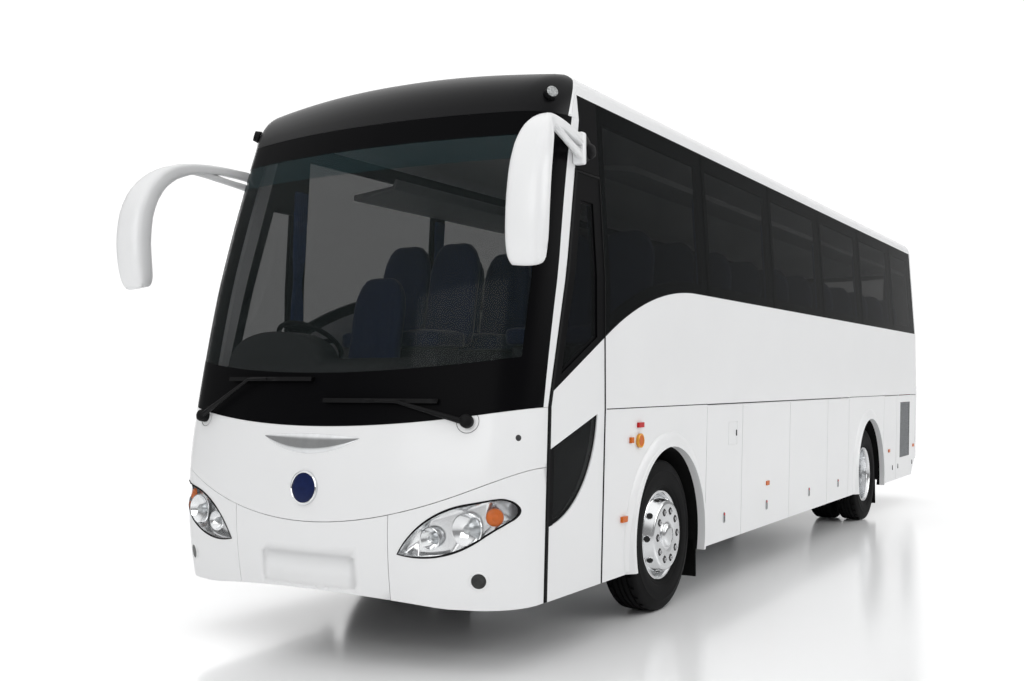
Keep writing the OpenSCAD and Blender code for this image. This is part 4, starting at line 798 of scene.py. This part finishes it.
for s, side in sides:
    bm = add_wheel(bmesh.new(), s, s * WHEEL_X, FRONT_AXLE, FRONT_DISC, (0.2465, 0.1125, 2.4), (0.165, 0.1565, 0))
    shown_for(f"front_rim_{side}", closed(bm), [polished, painted_hole_and_nut_shade, nut_steel], 38)
    bm = add_wheel(bmesh.new(), s, s * WHEEL_X, REAR_AXLE, REAR_DISC, (0.231, -0.091, -1.3), (0.16, -0.132, 0))
    inner = [(r, -h) for r, h in BARREL] + [(0.262, 0.05), (0.25, 0.064), (0.2, 0.134), (0.06, 0.134)]
    turned(bm, inner, (s * INNER_WHEEL_X, REAR_AXLE, HUB_Z), (s, 0, 0), 64, 0)
    shown_for(f"rear_rims_{side}", closed(bm), [polished, painted_hole_and_nut_shade, nut_steel], 38)

# Seats: steel pedestals under foam cushions and backs in dark blue cloth. The covers are sewn in three fields,
# so the foam swells between the seams; a cloth simulation with inner pressure shapes one of each.
seat_cloth = finish_of("seat_cloth", (0.02, 0.035, 0.11), 0.9, 60, 0.3, 0.3, 900, Sheen_Weight=0.3)
pedestal_steel = finish_of("pedestal_steel", (0.05, 0.05, 0.055), 0.45, 15, 0.15)
SWELL = 0.025
SEAT_X, SEAT_ROWS, SEAT_PITCH, DECK_Z = (0.935, 0.485, -0.935, -0.485), 11, 0.78, 1.44


def foam_block(shape):
    """A closed block with softened corners; shape places a point given its three shares from -1 to 1."""
    bm = bmesh.new()
    bmesh.ops.create_cube(bm, size=2)
    bmesh.ops.subdivide_edges(bm, edges=bm.edges[:], cuts=7, use_grid_fill=True)
    shares = []
    for v in bm.verts:
        a, b, c = v.co
        soft = max(abs(a), abs(b), abs(c)) / (abs(a) ** 7 + abs(b) ** 7 + abs(c) ** 7) ** (1 / 7)
        shares.append((a, b, c))
        v.co = shape(a * soft, b * soft, c * soft)
    return bm, shares


def stuffed(bm, stitched):
    """Lets pressure swell the cover between its stitched points, by at most 25 mm."""
    before = [v.co.copy() for v in bm.verts]
    mesh = bpy.data.meshes.new("cover")
    bm.to_mesh(mesh)
    cover = bpy.data.objects.new("cover", mesh)
    scene.collection.objects.link(cover)
    cover.vertex_groups.new(name="stitched").add(stitched, 1, "REPLACE")
    cloth = cover.modifiers.new("foam", "CLOTH")
    cloth.settings.vertex_group_mass = "stitched"
    cloth.settings.use_pressure = True
    cloth.settings.uniform_pressure_force = 4
    cloth.settings.effector_weights.gravity = 0
    cloth.settings.tension_stiffness = 12
    cloth.settings.bending_stiffness = 1
    for f in range(1, 21):
        scene.frame_set(f)
    swollen = cover.evaluated_get(bpy.context.evaluated_depsgraph_get()).data
    for v, old, new in zip(bm.verts, before, [x.co.copy() for x in swollen.vertices]):
        move = new - old
        v.co = old + move * min(1, SWELL / max(move.length, 1e-6))
    scene.frame_set(1)
    bpy.data.objects.remove(cover)
    return bm


def cushion_shape(a, b, c):
    """A seat cushion, crowned on top and drawn in along its edges."""
    crown = 0.016 * (1 - a * a) * (1 - b * b) if c > 0 else 0
    return ((0.214 - 0.008 * (1 - b * b)) * a, 0.215 + (0.213 - 0.008 * (1 - a * a)) * b, 0.412 + 0.06 * c + crown)


def back_shape(a, b, c):
    """A seat back, leaning to the rear and narrower towards the headrest."""
    t = (c + 1) / 2
    wide = 0.214 - 0.006 * (1 - c * c) - 0.055 * max(0, (t - 0.72) / 0.28) ** 2
    return (wide * a, 0.468 + 0.15 * t ** 1.15 + (0.047 - 0.008 * t) * b - 0.012 * max(0, (t - 0.75) / 0.25) ** 2,
            0.362 + 0.8 * t - 0.03 * abs(a) ** 4 * max(0, c))


cushion, shares = foam_block(cushion_shape)
stuffed(cushion, [k for k, (a, b, c) in enumerate(shares) if c < -0.4 or c > 0.9 and abs(abs(a) - 0.5) < 0.01])
backrest, shares = foam_block(back_shape)
stuffed(backrest, [k for k, (a, b, c) in enumerate(shares)
                   if b > 0.4 or b < -0.9 and (abs(abs(a) - 0.5) < 0.01 and c < 0.5 or abs(c - 0.5) < 0.01)])
seat_spots = [(x, -0.6 + SEAT_PITCH * r, DECK_Z) for r in range(SEAT_ROWS) for x in SEAT_X]
seat_spots.append((-0.62, -1.36, 1.12))


def seated(bm, name):
    """The same piece on every seat."""
    one = bpy.data.meshes.new(name + "_one")
    bm.to_mesh(one)
    bm.clear()
    for x, y, z in seat_spots:
        count = len(bm.verts)
        bm.from_mesh(one)
        bmesh.ops.translate(bm, verts=list(bm.verts)[count:], vec=(x, FRONT_AXLE + y, z))
    return bm


shown_for("seat_cushions", seated(cushion, "cushion"), seat_cloth, 60)
shown_for("seat_backs", seated(backrest, "backrest"), seat_cloth, 60)
bm = bmesh.new()
bmesh.ops.create_cube(bm, size=1)
for v in bm.verts:
    v.co = (v.co.x * (0.3 if v.co.z < 0 else 0.36), 0.22 + 0.3 * v.co.y, 0.176 + 0.35 * v.co.z)
bmesh.ops.bevel(bm, geom=bm.edges[:], offset=0.02, segments=2, profile=0.5, affect="EDGES", material=-1)
piece(seated(bm, "pedestal"), "seat_pedestals", pedestal_steel, "body", smooth=35)

# Curtains: blue woven cloth gathered in folds at each window pillar, hung from a rail under the luggage rack and
# held in by a band.
CURTAIN_TOP = 2.9
curtain_cloth = finish_of("curtain_cloth", (0.05, 0.1, 0.26), 0.9, 40, 0.2, 0.2, 900, Sheen_Weight=0.3)
WINDOW_PITCH = 1.6
pillars = [-1.005] + [0.75 + WINDOW_PITCH * k for k in range(5)]
for s, side in sides:
    for k, y in enumerate(pillars):
        low = 1.985 if k == 0 else 2.205
        bm = bmesh.new()
        bmesh.ops.create_grid(bm, x_segments=56, y_segments=12, size=0.5)
        for v in bm.verts:
            a, b = v.co.x, v.co.y + 0.5
            z = low + (CURTAIN_TOP - low) * b
            wide = 0.135 - 0.05 * exp(-((b - 0.3) / 0.14) ** 2)
            fold = 0.011 * sin(14 * pi * a + 0.6 * sin(5 * b))
            v.co = (s * (flank_x(z) - 0.056 + fold), FRONT_AXLE + y + wide * a, z)
        cloth_area = sum(f.calc_area() for f in bm.faces)
        hung = piece(bm, f"curtain_{side}_{k + 1}", curtain_cloth, "body", 60)
        if s > 0 and k == 0:
            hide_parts("curtains")

# Cabin: a moulded dashboard with its hood and the steering wheel, pale luggage racks along the ceiling, and a
# dark floor covering with steps.
rack_grey = finish_of("rack_grey", (0.45, 0.46, 0.46), 0.6, 10, 0.05, 0.1, 400)
floor_cover = finish_of("floor_cover", (0.1, 0.1, 0.11), 0.7, 30, 0.2, 0.1, 300)
dash_skin = finish_of("dash_skin", (0.03, 0.031, 0.033), 0.6, 20, 0.15, 0.2, 600)
shell("dashboard", dash_skin, smooth=40)
shell("steering_wheel", black_plastic, smooth=40)
shell("luggage_racks", rack_grey, smooth=40)
shell("cabin_floor", floor_cover)

# Air conditioner: a white moulded hood on the roof with six fans, each a dark well with blades under a wire
# guard.
shell("air_conditioner", [white_paint, vent_dark], lambda c, n: 3.5695 < c.z < 3.5995 and abs(n.z) > 0.9)
bm = bmesh.new()
FAN_PITCH, FAN_Z, BLADE_R = 0.62, 3.586, 0.115
for x in (-0.31, 0.31):
    for k in (-1, 0, 1):
        spot = (x, FRONT_AXLE + 2.24 + FAN_PITCH * k, FAN_Z)
        for r in (0.06, 0.1, 0.14, 0.18, 0.205):
            turned(bm, [(r - 0.003, 0), (r, 0.003), (r + 0.003, 0), (r, -0.003), (r - 0.003, 0)], spot, (0, 0, 1), 24)
        turned(bm, [(0.0, 0.008), (0.035, 0.007), (0.045, 0.0), (0.045, -0.012)], spot, (0, 0, 1), 20)
        for a, b in around(5, BLADE_R):
            blade = bmesh.ops.create_grid(bm, x_segments=3, y_segments=1, size=0.5)["verts"]
            for v in blade:
                r = 0.12 + 0.15 * v.co.x
                v.co = Vector(spot) + Vector((a * r / BLADE_R - b * v.co.y * 0.6, b * r / BLADE_R + a * v.co.y * 0.6,
                                              -0.011 + 0.008 * v.co.y))
piece(closed(bm), "roof_fans", black_plastic, "body", smooth=40)

# Underbody and bays: painted steel ladders and axles, sheet bays, rubber flaps and housings, and the bright
# post of the door.
black_steel = finish_of("black_steel", (0.03, 0.03, 0.033), 0.5, 8, 0.2, 0.1, 100)
bay_sheet = finish_of("bay_sheet", (0.45, 0.46, 0.47), 0.4, 5, 0.05, 0.05, 100, Metallic=0.8)
flap_rubber = finish_of("flap_rubber", (0.006, 0.006, 0.006), 0.8, 12, 0.2, 0.2, 200, Specular_IOR_Level=0.1)
post_steel = finish_of("post_steel", (0.6, 0.6, 0.6), 0.3, 8, 0.05, 0.05, 200, Metallic=1.0)
for n in ("frame", "front_axle", "rear_axle", "knuckle_left", "knuckle_right", "engine_block"):
    shell(n, black_steel)
shell("luggage_bay", bay_sheet)
for n in ("mud_flaps", "wheel_housings"):
    shell(n, flap_rubber)
shell("door_arm", post_steel)
